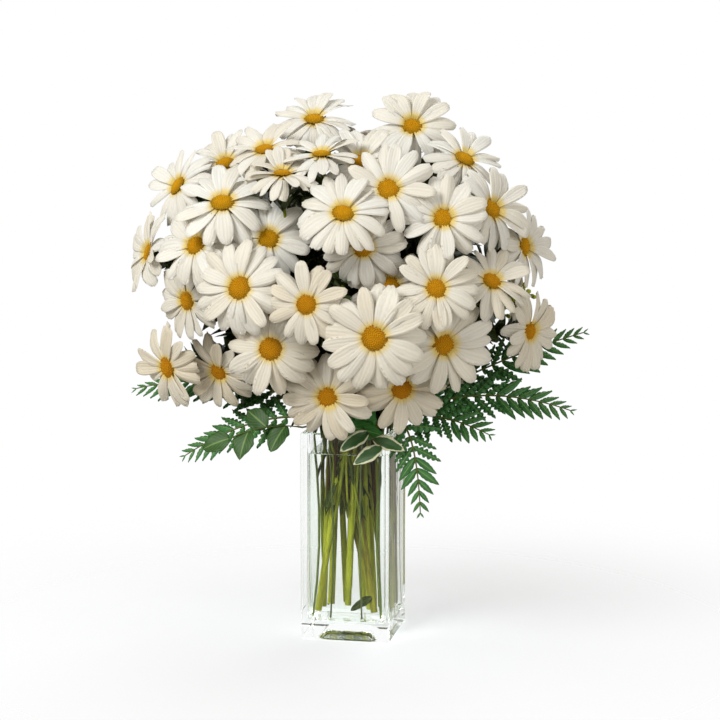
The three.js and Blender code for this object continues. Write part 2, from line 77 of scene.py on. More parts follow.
# The colours below are sRGB hex values, and Blender wants linear ones.
def hexColour(text):
    parts = [int(text[i:i + 2], 16) / 255 for i in (1, 3, 5)]
    linear = [c / 12.92 if c <= 0.04045 else ((c + 0.055) / 1.055) ** 2.4 for c in parts]
    return (*linear, 1.0)


# "kind" may be followed by the node's operation. Values go to its sockets in order, and None
# leaves one as it is. Names in lower case are the node's own settings, and the others are
# sockets, with _ for a space. A node stands for its first output, and a list for several links.
def addNode(tree, kind, *values, **named):
    kind, *operation = kind.split()
    node = tree.nodes.new(kind)
    if operation:
        node.operation = operation[0]
    for name, value in named.items():
        if name[0].islower():
            setattr(node, name, value)
    sockets = [socket for socket in node.inputs if socket.enabled]
    filled = list(zip(sockets, values))
    for name, value in named.items():
        if name[0].isupper():
            filled.append((next(s for s in sockets if s.name == name.replace("_", " ")), value))
    for socket, value in filled:
        for one in value if isinstance(value, list) else [value]:
            if isinstance(one, bpy.types.Node):
                one = next(output for output in one.outputs if output.enabled)
            if isinstance(one, bpy.types.NodeSocket):
                tree.links.new(one, socket)
            elif one is not None:
                isColour = isinstance(one, str) and one.startswith("#")
                socket.default_value = hexColour(one) if isColour else one
    return node


def lerp(a, b, t):
    return a + (b - a) * t


def bezier(a, b, c, t):
    return a.lerp(b, t).lerp(b.lerp(c, t), t)


def makeMesh(name, points, faces, edges=()):
    mesh = bpy.data.meshes.new(name)
    mesh.from_pydata([tuple(point) for point in points], edges, faces)
    mesh.shade_smooth()
    return mesh


# Bare points, or lines, with a value or a vector for each point.
def pointMesh(name, points, edges=(), **attributes):
    mesh = makeMesh(name, points, [], edges)
    for key, values in attributes.items():
        isVector = hasattr(values[0], "__len__")
        kind = "FLOAT_VECTOR" if isVector else "INT" if isinstance(values[0], int) else "FLOAT"
        attribute = mesh.attributes.new(key, kind, "POINT")
        flat = [c for value in values for c in value] if isVector else values
        attribute.data.foreach_set("vector" if isVector else "value", flat)
    return mesh


# Lines end to end: each is a list of rows (point, values by name).
def lineMesh(name, lines):
    rows = [row for line in lines for row in line]
    attributes = {key: [values[key] for _, values in rows] for key in rows[0][1]}
    edges, first = [], 0
    for line in lines:
        edges += [(i, i + 1) for i in range(first, first + len(line) - 1)]
        first += len(line)
    return pointMesh(name, [point for point, _ in rows], edges, **attributes)


def ring(count, radius, z):
    turns = [2 * math.pi * k / count for k in range(count)]
    return [(radius * math.cos(turn), radius * math.sin(turn), z) for turn in turns]


# Rings of points, each above the one before and anticlockwise seen from above, joined by
# strips. A ring of one point is a pole, and any other end is closed by a face.
def ringMesh(name, rings):
    faces, first = [], 0
    for lower, upper in zip(rings, rings[1:]):
        above, count = first + len(lower), max(len(lower), len(upper))
        for k in range(count):
            after = (k + 1) % count
            if len(lower) == 1:
                faces.append((first, above + after, above + k))
            elif len(upper) == 1:
                faces.append((first + k, first + after, above))
            else:
                faces.append((first + k, first + after, above + after, above + k))
        first = above
    if len(rings[0]) > 1:
        faces.append(tuple(reversed(range(len(rings[0])))))
    if len(rings[-1]) > 1:
        faces.append(tuple(range(first, first + len(rings[-1]))))
    return makeMesh(name, [point for one in rings for point in one], faces)


# The faces from a pole, which is the first point, down over rings of points below it.
def poleFaces(sides, rings):
    faces = [(0, 1 + k, 1 + (k + 1) % sides) for k in range(sides)]
    for first in range(1, 1 + (rings - 1) * sides, sides):
        for k in range(sides):
            a, b = first + k, first + (k + 1) % sides
            faces.append((a, a + sides, b + sides, b))
    return faces


# A round bar along a straight or bent line, closed at both ends.
def barMesh(name, line, radii, sides):
    rings, side = [], Vector((1, 0, 0))
    for i, point in enumerate(line):
        ahead = (line[min(i + 1, len(line) - 1)] - line[max(i - 1, 0)]).normalized()
        side = (side - ahead * side.dot(ahead)).normalized()
        up = ahead.cross(side)
        rings.append([point + (side * x + up * y) * radii[i] for x, y, _ in ring(sides, 1, 0)])
    return ringMesh(name, rings)


# A thin closed blade. place(u, v) is a point of its upper face, u from -1 to 1 across it
# and v from 0 to 1 along it. Both are kept as its UV map.
def bladeMesh(name, columns, rows, thickness, place):
    across = columns + 1
    points, uvs = [], []
    for level in (0, 1):
        for j in range(rows + 1):
            for i in range(across):
                u, v = 2 * i / columns - 1, j / rows
                x, y, z = place(u, v)
                thin = thickness * (1 - 0.6 * u * u) * (1 - 0.5 * v)
                points.append((x, y, z - level * thin))
                uvs.append((0.5 + 0.5 * u, v))
    under = across * (rows + 1)
    faces = []
    for j in range(rows):
        for i in range(columns):
            a = j * across + i
            quad = (a, a + across, a + across + 1, a + 1)
            faces += [quad, tuple(k + under for k in reversed(quad))]
    rim = [j * across for j in range(rows)]
    rim += [rows * across + i for i in range(columns)]
    rim += [j * across + columns for j in range(rows, 0, -1)]
    rim += list(range(columns, 0, -1))
    faces += [(a, a + under, b + under, b) for a, b in zip(rim, rim[1:] + rim[:1])]
    mesh = makeMesh(name, points, faces)
    layer = mesh.uv_layers.new(name="bladeUV")
    for loop in mesh.loops:
        layer.data[loop.index].uv = uvs[loop.vertex_index]
    return mesh


# Several meshes made one, with the place of each.
def joinMeshes(name, placed):
    points, faces, uvs = [], [], []
    for mesh, matrix in placed:
        first = len(points)
        points += [matrix @ v.co for v in mesh.vertices]
        layer = mesh.uv_layers.active
        for face in mesh.polygons:
            faces.append([first + k for k in face.vertices])
            uvs += [tuple(layer.data[k].uv) if layer else (0, 0) for k in face.loop_indices]
    joined = makeMesh(name, points, faces)
    layer = joined.uv_layers.new(name="bladeUV")
    layer.data.foreach_set("uv", [c for uv in uvs for c in uv])
    return joined


def makeCollection(name, meshes):
    collection = bpy.data.collections.new(name)
    for i, mesh in enumerate(meshes):
        collection.objects.link(bpy.data.objects.new(f"{name}{i}", mesh))
    return collection


# "sockets" are the tree's inputs, by name, with the kind of each.
def newTree(name, sockets):
    tree = bpy.data.node_groups.new(name, "GeometryNodeTree")
    tree.interface.new_socket("Geometry", in_out="INPUT", socket_type="NodeSocketGeometry")
    for socket, kind in sockets.items():
        tree.interface.new_socket(socket, in_out="INPUT", socket_type="NodeSocket" + kind)
    tree.interface.new_socket("Material", in_out="INPUT", socket_type="NodeSocketMaterial")
    tree.interface.new_socket("Geometry", in_out="OUTPUT", socket_type="NodeSocketGeometry")
    return tree, partial(addNode, tree), addNode(tree, "NodeGroupInput").outputs


# Every tree ends in real geometry with its material.
def endTree(tree, geometry, given):
    if isinstance(geometry, list):
        geometry = addNode(tree, "GeometryNodeJoinGeometry", geometry)
    real = addNode(tree, "GeometryNodeRealizeInstances", geometry)
    painted = addNode(tree, "GeometryNodeSetMaterial", real, Material=given["Material"])
    addNode(tree, "NodeGroupOutput", painted)
    return tree


# One of the forms in a collection at each point, drawn at random unless "pick" says which.
def placeForms(add, given, forms, points, rotation, size, pick=None, kept=True):
    if pick is None:
        pick = add("FunctionNodeRandomValue", 0, 60, None, given["Seed"], data_type="INT")
    blades = add("GeometryNodeCollectionInfo", given[forms], True, True)
    return add("GeometryNodeInstanceOnPoints", points, kept, blades, True, pick, rotation, size)


# Turns a rotation further, by "angle" about an axis of its own.
def turnOwn(add, rotation, axis, angle):
    turn = add("FunctionNodeAxisAngleToRotation", axis, angle)
    return add("FunctionNodeRotateRotation", rotation, turn, rotation_space="LOCAL")


# A tube along a curve, as thick as its points say.
def tubeAlong(add, curve, profile):
    thick = add("GeometryNodeInputNamedAttribute", "thick")
    tube = add("GeometryNodeCurveToMesh", curve, profile, thick, True)
    return add("GeometryNodeSetShadeSmooth", tube)


# Runs a tree on a start mesh and keeps the outcome as a plain mesh of its own.
def grow(name, start, tree, values):
    source = bpy.data.objects.new(name + "Start", start)
    scene.collection.objects.link(source)
    modifier = source.modifiers.new("grow", "NODES")
    modifier.node_group = tree
    for item in tree.interface.items_tree:
        if item.in_out == "INPUT" and item.name in values:
            modifier[item.identifier] = values[item.name]
    bpy.context.view_layer.update()
    evaluated = source.evaluated_get(bpy.context.evaluated_depsgraph_get())
    mesh = bpy.data.meshes.new_from_object(evaluated)
    bpy.data.objects.remove(source)
    mesh.name = name
    return mesh


# The odd tip that would reach past the box of the solids is pressed back to it.
def keepInBox(mesh):
    for vertex in mesh.vertices:
        for axis in range(3):
            low, high = cadBox[0][axis], cadBox[1][axis]
            vertex.co[axis] = min(high, max(low, vertex.co[axis]))


# Petals that rise towards the limit of the box curl over below it. "soft" is in mm.
def curlInBox(mesh, soft):
    depth = soft * mm
    for vertex in mesh.vertices:
        for axis in range(3):
            for side, limit in ((-1, cadBox[0][axis]), (1, cadBox[1][axis])):
                over = side * (vertex.co[axis] - limit) + depth
                if over > 0:
                    curled = depth * (1 - math.exp(-over / depth))
                    vertex.co[axis] = limit + side * (curled - depth)


def addPiece(name, mesh, nodes, material=None):
    keepInBox(mesh)
    piece = bpy.data.objects.new(name, mesh)
    scene.collection.objects.link(piece)
    if material:
        mesh.materials.clear()
        mesh.materials.append(material)
    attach(piece, "root")
    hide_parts(*nodes)


def newMaterial(name):
    material = bpy.data.materials.new(name)
    material.use_nodes = True
    material.node_tree.nodes.clear()
    return material, partial(addNode, material.node_tree)


# Ends a material in its shader, with the sockets that make up its finish.
def setFinish(add, **sockets):
    add("ShaderNodeOutputMaterial", add("ShaderNodeBsdfPrincipled", **sockets))


# Camera, light and floor

# Fitted to the corners of the vase: the turn to the right and the rise above level of the
# line of sight, in degrees, and the point looked at, in mm.
cameraSet = {"distance": 1600, "turn": 11.35, "rise": 6.66, "right": 5.5, "height": 244.4,
             "lens": 90.4}


def makeCamera(settings):
    turn, rise = math.radians(settings["turn"]), math.radians(settings["rise"])
    back = Vector((math.sin(turn) * math.cos(rise), -math.cos(turn) * math.cos(rise),
                   math.sin(rise)))
    right = Vector((math.cos(turn), math.sin(turn), 0))
    aim = right * settings["right"] + Vector((0, 0, settings["height"]))
    camera = bpy.data.objects.new("camera", bpy.data.cameras.new("camera"))
    camera.data.lens = settings["lens"]
    camera.data.clip_start, camera.data.clip_end = 0.05, 50
    camera.location = (aim + back * settings["distance"]) * mm
    camera.rotation_euler = (-back).to_track_quat("-Z", "Y").to_euler()
    scene.collection.objects.link(camera)
    scene.camera = camera


# Sizes and places in metres, power in watts. The key is up on the left, as in the photograph.
lightSet = {
    "key": {"at": (-1.0, -1.4, 1.5), "size": 1.1, "power": 33, "colour": "#fbfbf8"},
    "fill": {"at": (1.5, -1.3, 0.8), "size": 1.3, "power": 10, "colour": "#fbfbf8"},
    "rim": {"at": (0.4, 1.5, 1.5), "size": 1.2, "power": 13, "colour": "#ffffff"},
}
lightAim = (0, 0, 0.26)
# The colour and strength of the white that is seen, and of the room that lights things.
worldSet = {"seen": ("#ffffff", 1.0), "lit": ("#fdf6e8", 0.42)}


def makeLights(settings):
    for name, one in settings.items():
        light = bpy.data.lights.new(name, "AREA")
        light.shape = "DISK"
        light.size = one["size"]
        light.energy = one["power"]
        light.color = hexColour(one["colour"])[:3]
        lamp = bpy.data.objects.new(name, light)
        lamp.location = one["at"]
        lamp.rotation_euler = (Vector(lightAim) - lamp.location).to_track_quat("-Z", "Y").to_euler()
        scene.collection.objects.link(lamp)


# A white studio: what is seen, also through the glass, is plain white. A dimmer, warmer light
# falls on things and is mirrored in them, as a room round a white backdrop is.
def makeWorld(settings):
    world = bpy.data.worlds.new("studio")
    scene.world = world
    world.use_nodes = True
    world.node_tree.nodes.clear()
    add = partial(addNode, world.node_tree)
    rays = add("ShaderNodeLightPath")
    matt = add("ShaderNodeMath MINIMUM", rays.outputs["Diffuse Depth"], 1.0)
    dim = add("ShaderNodeMath MAXIMUM", matt, rays.outputs["Is Reflection Ray"])
    lights = [add("ShaderNodeBackground", *settings[key]) for key in ("seen", "lit")]
    add("ShaderNodeOutputWorld", add("ShaderNodeMixShader", dim, *lights))


# A pale, slightly see-through round floor, a hair under the vase, whose rim fades into the
# white behind it. Metres, but for the drop in mm.
floorSet = {"radius": 2.0, "faded": (0.05, 0.6), "clear": 0.4, "drop": 0.4, "colour": "#f5f8ff",
            "sides": 96}


def makeFloor(settings):
    material, add = newMaterial("paleFloor")
    place = add("ShaderNodeTexCoord")
    length = add("ShaderNodeVectorMath LENGTH", place.outputs["Object"])
    fade = add("ShaderNodeMapRange", length, *settings["faded"], settings["clear"],
               interpolation_type="SMOOTHSTEP")
    paint = add("ShaderNodeBsdfDiffuse", settings["colour"])
    clear = add("ShaderNodeBsdfTransparent")
    add("ShaderNodeOutputMaterial", add("ShaderNodeMixShader", fade, paint, clear))
    rim = ring(settings["sides"], settings["radius"], -settings["drop"] * mm)
    mesh = makeMesh("floor", rim, [tuple(range(settings["sides"]))])
    mesh.materials.append(material)
    floor = bpy.data.objects.new("floor", mesh)
    scene.collection.objects.link(floor)


makeCamera(cameraSet)
makeLights(lightSet)
makeWorld(worldSet)
makeFloor(floorSet)
scene.view_settings.view_transform = "Standard"
# Enough for light that runs along inside a glass wall from end to end.
scene.cycles.max_bounces = 32
scene.cycles.glossy_bounces = 24
scene.cycles.transmission_bounces = 24
print("studio ready")


# Materials

# Cloudy noise in an object's own coordinates, in clouds per metre.
def addClouds(add, scale, detail):
    place = add("ShaderNodeTexCoord")
    return add("ShaderNodeTexNoise", place.outputs["Object"], scale, detail)


# Where a point is on its blade: across it, along it, and how far it is from the midrib.
def addBladePlace(add):
    uv = add("ShaderNodeUVMap", uv_map="bladeUV")
    across, along, _ = add("ShaderNodeSeparateXYZ", uv).outputs
    aside = add("ShaderNodeMath SUBTRACT", across, 0.5)
    return across, along, add("ShaderNodeMath ABSOLUTE", aside)


# A stalk has no UV map of its own, so it reads 0 there, which on a blade is only its root.
def addStalk(add, along, blade, stalk):
    bare = add("ShaderNodeMath LESS_THAN", along, 0.001)
    return add("ShaderNodeMix", bare, blade, stalk, data_type="RGBA")


def setBands(ramp, bands):
    elements = ramp.color_ramp.elements
    for place, colour in bands.items():
        band = elements[0] if place == 0 else elements[-1] if place == 1 else elements.new(place)
        band.color = hexColour(colour)


# Ray floret of a daisy: living tissue full of tiny air spaces, so it is a matt, slightly
# velvety white that glows where light comes through. Its root holds some yellow, and five
# shallow furrows, with finer ones between them, run its whole length. The grooves of the
# furrows are painted towards the shade colour, as painted shade, and so is each bloom by
# its age and, low in the bouquet, by painted shade.
petalPaint = {"white": "#f4f5f1", "shade": "#dbc8a4", "root": "#e8c960", "furrows": 5,
              "furrowDepth": 0.2, "rough": 0.62}


def makePetalMaterial(settings):
    material, add = newMaterial("whiteRayFloret")
    across, along, _ = addBladePlace(add)
    wander = add("ShaderNodeMath MULTIPLY_ADD", addClouds(add, 160, 2), 0.12, across)
    turns = add("ShaderNodeMath MULTIPLY", wander, settings["furrows"] * 2 * math.pi)
    wave = add("ShaderNodeMath COSINE", turns)
    fineWave = add("ShaderNodeMath COSINE", add("ShaderNodeMath MULTIPLY", turns, 3))
    relief = add("ShaderNodeMath MULTIPLY_ADD", fineWave, 0.3, wave)
    bump = add("ShaderNodeBump", 0.4, settings["furrowDepth"] * mm, Height=relief)
    rootward = add("ShaderNodeMapRange", along, 0.07, 0.28, 0.9, 0.0,
                   interpolation_type="SMOOTHSTEP")
    aged = add("ShaderNodeAttribute", attribute_name="aged")
    # Painted shade: the bottoms of the furrows lean towards the shade colour.
    furrow = add("ShaderNodeMapRange", relief, 1.2, -1.2, 0.0, 0.18)
    shadeShare = add("ShaderNodeMath ADD", furrow, aged.outputs["Fac"], use_clamp=True)
    shaded = add("ShaderNodeMix", shadeShare, settings["white"], settings["shade"], data_type="RGBA")
    colour = add("ShaderNodeMix", rootward, shaded, settings["root"], data_type="RGBA")
    setFinish(add, Base_Color=colour, Roughness=settings["rough"], Subsurface_Weight=0.25,
              Subsurface_Radius=(1.0, 0.92, 0.75), Subsurface_Scale=1.2 * mm,
              Sheen_Weight=0.08, Normal=bump)
    return material


# Disc florets: hundreds of dry, pollen-dusted tubes, a warm orange gold in the middle, where
# they are shut, and a deeper olive gold out at the rim, where they have opened.
discPaint = {"middle": "#dba60f", "gold": "#be9210", "open": "#a17f12", "oldAndShaded": "#c0750a",
             "rough": 0.9, "gloss": 0.2}


def makeDiscMaterial(settings):
    material, add = newMaterial("goldenDiscFloret")
    rim, aged = [add("ShaderNodeAttribute", attribute_name=name).outputs["Fac"]
                 for name in ("rim", "aged")]
    ramp = add("ShaderNodeValToRGB", rim)
    setBands(ramp, {0: settings["middle"], 0.45: settings["middle"], 0.78: settings["gold"],
                    1: settings["open"]})
    # Discs of old blooms, and of low ones as painted shade, are mixed towards a darker orange.
    agedAndShadedDisc = add("ShaderNodeMix", aged, ramp, settings["oldAndShaded"], data_type="RGBA")
    tint = add("ShaderNodeMapRange", addClouds(add, 900, 1), To_Min=0.65, To_Max=1.2)
    colour = add("ShaderNodeVectorMath SCALE", agedAndShadedDisc, tint)
    setFinish(add, Base_Color=colour, Roughness=settings["rough"],
              Specular_IOR_Level=settings["gloss"])
    return material


# Cut flower stems: a waxy green skin over ribs, yellower or woody brown from stem to stem.
# Most of each is seen under water, where wax hardly mirrors.
stemPaint = {"green": "#3d5512", "light": "#a9ae34", "brown": "#4e3719", "rough": 0.42,
             "gloss": 0.08}


def makeStemMaterial(settings):
    material, add = newMaterial("waxyGreenStem")
    tint = add("ShaderNodeAttribute", attribute_name="tint")
    place = add("ShaderNodeTexCoord")
    drawn = add("ShaderNodeMapping", place.outputs["Object"], Scale=(1, 1, 0.12))
    streak = add("ShaderNodeTexNoise", drawn, 500, 3)
    varied = add("ShaderNodeMath MULTIPLY_ADD", streak, 0.3, tint.outputs["Fac"],
                 use_clamp=True)
    ramp = add("ShaderNodeValToRGB", varied)
    setBands(ramp, {0: settings["green"], 0.55: settings["light"], 1: settings["brown"]})
    setFinish(add, Base_Color=ramp, Roughness=settings["rough"],
              Specular_IOR_Level=settings["gloss"])
    return material


# Leaves: a waxed skin over green tissue, paler along the midrib and the side veins, which
# are sunk into the blade. One maker serves every plain green leaf, with its own colours.
leafPaint = {
    "daisyLeaf": {"deep": "#202b11", "pale": "#425223", "rib": "#5a672e", "stalk": "#3d4a20",
                  "veins": 7, "rough": 0.5, "gloss": 0.35},
    "leatherleafFern": {"deep": "#276230", "pale": "#4e8e4c", "rib": "#82a65e",
                        "stalk": "#5c6b2a", "veins": 6, "rough": 0.4, "gloss": 0.35},
    "roundedDarkLeaf": {"deep": "#24461e", "pale": "#426830", "rib": "#729050",
                        "stalk": "#55622c", "veins": 6, "rough": 0.45, "gloss": 0.3},
    # Painted light: the rim leaves are a lighter copy of the rounded leaves' green, for leaves that
    # lie in the shade of the blooms.
    "rimLeafPaintedLighter": {"deep": "#2f7a34", "pale": "#58a44e", "rib": "#86bd6c",
                     "stalk": "#55622c", "veins": 5, "rough": 0.45, "gloss": 0.3},
    "soakedOliveLeaf": {"deep": "#1b240a", "pale": "#3a4a18", "rib": "#5a6028",
                        "stalk": "#3a4a18", "veins": 5, "rough": 0.5, "gloss": 0.06},
}


def makeLeafMaterial(name, settings):
    material, add = newMaterial(name)
    _, along, fromRib = addBladePlace(add)
    slanted = add("ShaderNodeMath SUBTRACT", along, fromRib)
    turns = add("ShaderNodeMath MULTIPLY", slanted, settings["veins"] * 2 * math.pi)
    wave = add("ShaderNodeMath COSINE", turns)
    vein = add("ShaderNodeMapRange", wave, 0.75, 1.0, 0.0, 0.35)
    rib = add("ShaderNodeMapRange", fromRib, 0.02, 0.06, 1.0, 0.0)
    lines = add("ShaderNodeMath MAXIMUM", vein, rib)
    base = add("ShaderNodeMix", addClouds(add, 70, 3), settings["deep"], settings["pale"],
               data_type="RGBA")
    colour = add("ShaderNodeMix", lines, base, settings["rib"], data_type="RGBA")
    bump = add("ShaderNodeBump", 0.5, 0.3 * mm, Height=lines, invert=True)
    setFinish(add, Base_Color=addStalk(add, along, colour, settings["stalk"]),
              Roughness=settings["rough"], Specular_IOR_Level=settings["gloss"], Normal=bump)
    return material


# Variegated leaf: green in the middle, with a cream margin that holds no green tissue and
# wanders in and out along the edge.
variegatedPaint = {"green": "#46703a", "deep": "#294f25", "cream": "#eef0cc",
                   "stalk": "#5a6832", "margin": 0.15, "rough": 0.4}


def makeVariegatedMaterial(settings):
    material, add = newMaterial("creamEdgedLeaf")
    _, along, fromRib = addBladePlace(add)
    wander = add("ShaderNodeMath MULTIPLY_ADD", addClouds(add, 220, 2), 0.22, fromRib)
    edge = add("ShaderNodeMapRange", wander, 0.58 - settings["margin"],
               0.62 - settings["margin"])
    tip = add("ShaderNodeMapRange", along, 0.9, 0.95)
    pale = add("ShaderNodeMath MAXIMUM", edge, tip)
    green = add("ShaderNodeMix", addClouds(add, 90, 2), settings["deep"], settings["green"],
                data_type="RGBA")
    colour = add("ShaderNodeMix", pale, green, settings["cream"], data_type="RGBA")
    setFinish(add, Base_Color=addStalk(add, along, colour, settings["stalk"]),
              Roughness=settings["rough"])
    return material


# Flower buds of a filler plant: small, matt and downy, yellow-green mottled with a paler yellow.
budPaint = {"green": "#9aa82c", "yellow": "#cdd048", "rough": 0.7}


def makeBudMaterial(settings):
    material, add = newMaterial("downyGreenBud")
    cloud = addClouds(add, 350, 3)
    colour = add("ShaderNodeMix", cloud, settings["green"], settings["yellow"],
                 data_type="RGBA")
    bump = add("ShaderNodeBump", 0.6, 0.4 * mm, Height=cloud)
    setFinish(add, Base_Color=colour, Roughness=settings["rough"], Normal=bump)
    return material


# Soda-lime glass, pressed in a mould and fire-polished, and tap water. Both are clear, and
# straight light is let through them, as sunlight goes through a window. Where the two meet,
# "inside" the walls and over the base (in mm), they hardly mirror, as wet glass doesn't.
clearPaint = {
    "pressedGlass": {"colour": "#fcfefd", "index": 1.52, "inside": (35.5, 10)},
    "stillWater": {"colour": "#fcfefb", "index": 1.333, "inside": (36, 0)},
}


def makeClearMaterial(name, settings):
    material, add = newMaterial(name)
    half, floor = settings["inside"]
    place = add("ShaderNodeTexCoord")
    x, y, z = add("ShaderNodeSeparateXYZ", place.outputs["Object"]).outputs
    aside = [add("ShaderNodeMath ABSOLUTE", one) for one in (x, y)]
    out = add("ShaderNodeMath MAXIMUM", *aside)
    inner = add("ShaderNodeMath LESS_THAN", out, half * mm)
    raised = add("ShaderNodeMath GREATER_THAN", z, floor * mm)
    wet = add("ShaderNodeMath MULTIPLY", inner, raised)
    gloss = add("ShaderNodeMix", wet, "#ffffff", "#404040", data_type="RGBA")
    shader = add("ShaderNodeBsdfPrincipled", Base_Color=settings["colour"], Roughness=0.0,
                 IOR=settings["index"], Transmission_Weight=1.0, Specular_Tint=gloss)
    rays = add("ShaderNodeLightPath")
    clear = add("ShaderNodeBsdfTransparent", settings["colour"])
    mixed = add("ShaderNodeMixShader", rays.outputs["Is Shadow Ray"], shader, clear)
    add("ShaderNodeOutputMaterial", mixed)
    return material


petalMaterial = makePetalMaterial(petalPaint)
discMaterial = makeDiscMaterial(discPaint)
stemMaterial = makeStemMaterial(stemPaint)
leafMaterial, fernMaterial, roundMaterial, rimMaterial, soakedMaterial = [
    makeLeafMaterial(name, settings) for name, settings in leafPaint.items()]
variegatedMaterial = makeVariegatedMaterial(variegatedPaint)
budMaterial = makeBudMaterial(budPaint)
glassMaterial, waterMaterial = [
    makeClearMaterial(name, settings) for name, settings in clearPaint.items()]
print("materials ready")


# Blooms, read from the frame

# The share of a bloom's reach that its disc takes, how far the flat underside of its solid
# lies behind its middle, in mm, and how many sides that underside has.
bloomSet = {"disc": 0.235, "behind": 1.5, "sides": 12}


# A bloom's underside is a flat of as many triangles as its sides ask for, turned away from
# where the bloom faces, and it is the largest such flat of its solid.
def readBloom(name, settings):
    solid = frame["nodes"][name].data
    faces = solid.polygons

    def alike(face):
        return [f for f in faces if f.normal.dot(face.normal) > 0.99999
                and abs((f.center - face.center).dot(face.normal)) < 0.02 * mm]

    flats = [some for some in map(alike, faces) if len(some) == settings["sides"] - 2]
    flat = max(flats, key=lambda some: sum(f.area for f in some))
    area = sum(f.area for f in flat)
    middle = sum((f.center * f.area for f in flat), Vector()) / area
    corners = [solid.vertices[k].co for f in flat for k in f.vertices]
    facing = -flat[0].normal
    return {
        "centre": middle + facing * settings["behind"] * mm,
        "facing": facing,
        "reach": max((c - middle).length for c in corners) / settings["disc"],
    }


# The nodes of a spray are bloom_a1, bloom_a2 and so on.
bloomNames = sorted(name for name in frame["nodes"] if name.startswith("bloom_"))
sprays = {letter: {name: readBloom(name, bloomSet) for name in bloomNames if name[6] == letter}
          for letter in sorted({name[6] for name in bloomNames})}
print("blooms read:", len(bloomNames))


# Petals and discs

# Lengths are shares of a bloom's reach. Each petal is drawn once as a mesh, in several
# forms, and set round its disc in two layers by the tree.
petalSet = {"forms": 9, "columns": 6, "rows": 7, "root": 0.15, "half": 0.18, "thick": 0.008,
            "fewest": 14, "most": 17, "layer": 0.025, "sway": 0.22, "unlike": 0.05,
            "share": 0.985, "curl": 12, "hang": 0.3, "sideNod": 0.28, "topNod": 0.58}


# x runs level across the bloom, y up it, and z out of its face.
def facingAxes(facing):
    across = Vector((0, 0, 1)).cross(facing).normalized()
    return across, facing.cross(across), facing


# The petals turn to the light in front: they hang on that side of the disc and stand up
# behind it, most of all where a bloom looks up. This gives how much they rise, in radians,
# along x and y of the bloom.
def noddingOf(facing, settings):
    across, up, _ = facingAxes(facing)
    much = lerp(settings["sideNod"], settings["topNod"], max(0, facing.z))
    return Vector((much * across.y, much * up.y, 0))


# A point for each bloom, with what the trees ask of it.
def headMesh(name, heads, nodShare, **attributes):
    return pointMesh(
        name, [head["centre"] for head in heads],
        angles=[tuple(Matrix(facingAxes(head["facing"])).transposed().to_euler())
                for head in heads],
        nod=[tuple(nodShare * noddingOf(head["facing"], petalSet)) for head in heads],
        reach=[head["reach"] for head in heads], **attributes)


def petalForm(seed, settings):
    draw = random.Random(seed)
    half = settings["half"] * draw.uniform(0.82, 1.12)
    droop = draw.uniform(-0.08, 0.2)
    twist = draw.uniform(-0.55, 0.55)
    camber = draw.uniform(-0.3, 0.7)
    bend = draw.uniform(-0.07, 0.07)
    notch = draw.uniform(0.0, 0.035)
    rounding = draw.uniform(0.07, 0.12)
    length = 1 - settings["root"]

    def place(u, v):
        if v < 0.6:
            width = 0.42 + 0.58 * math.sin(math.pi / 2 * v / 0.6) ** 1.2
        else:
            width = 1 - 0.3 * ((v - 0.6) / 0.4) ** 2.2
        tip = -rounding * u * u + notch * (math.cos(3 * math.pi * u) - 1) / 2
        x = settings["root"] + length * v * (1 + tip * v * v)
        y = u * half * width + bend * v * v
        furrow = 0.07 * half * math.cos(3 * math.pi * u) * math.sin(math.pi * min(1, v + 0.15))
        z = 0.05 * math.sin(math.pi * v) - droop * v * v + furrow
        z += (twist * u * v - camber * u * u) * half * width
        return x, y, z

    return bladeMesh(f"petal{seed}", settings["columns"], settings["rows"],
                     settings["thick"], place)


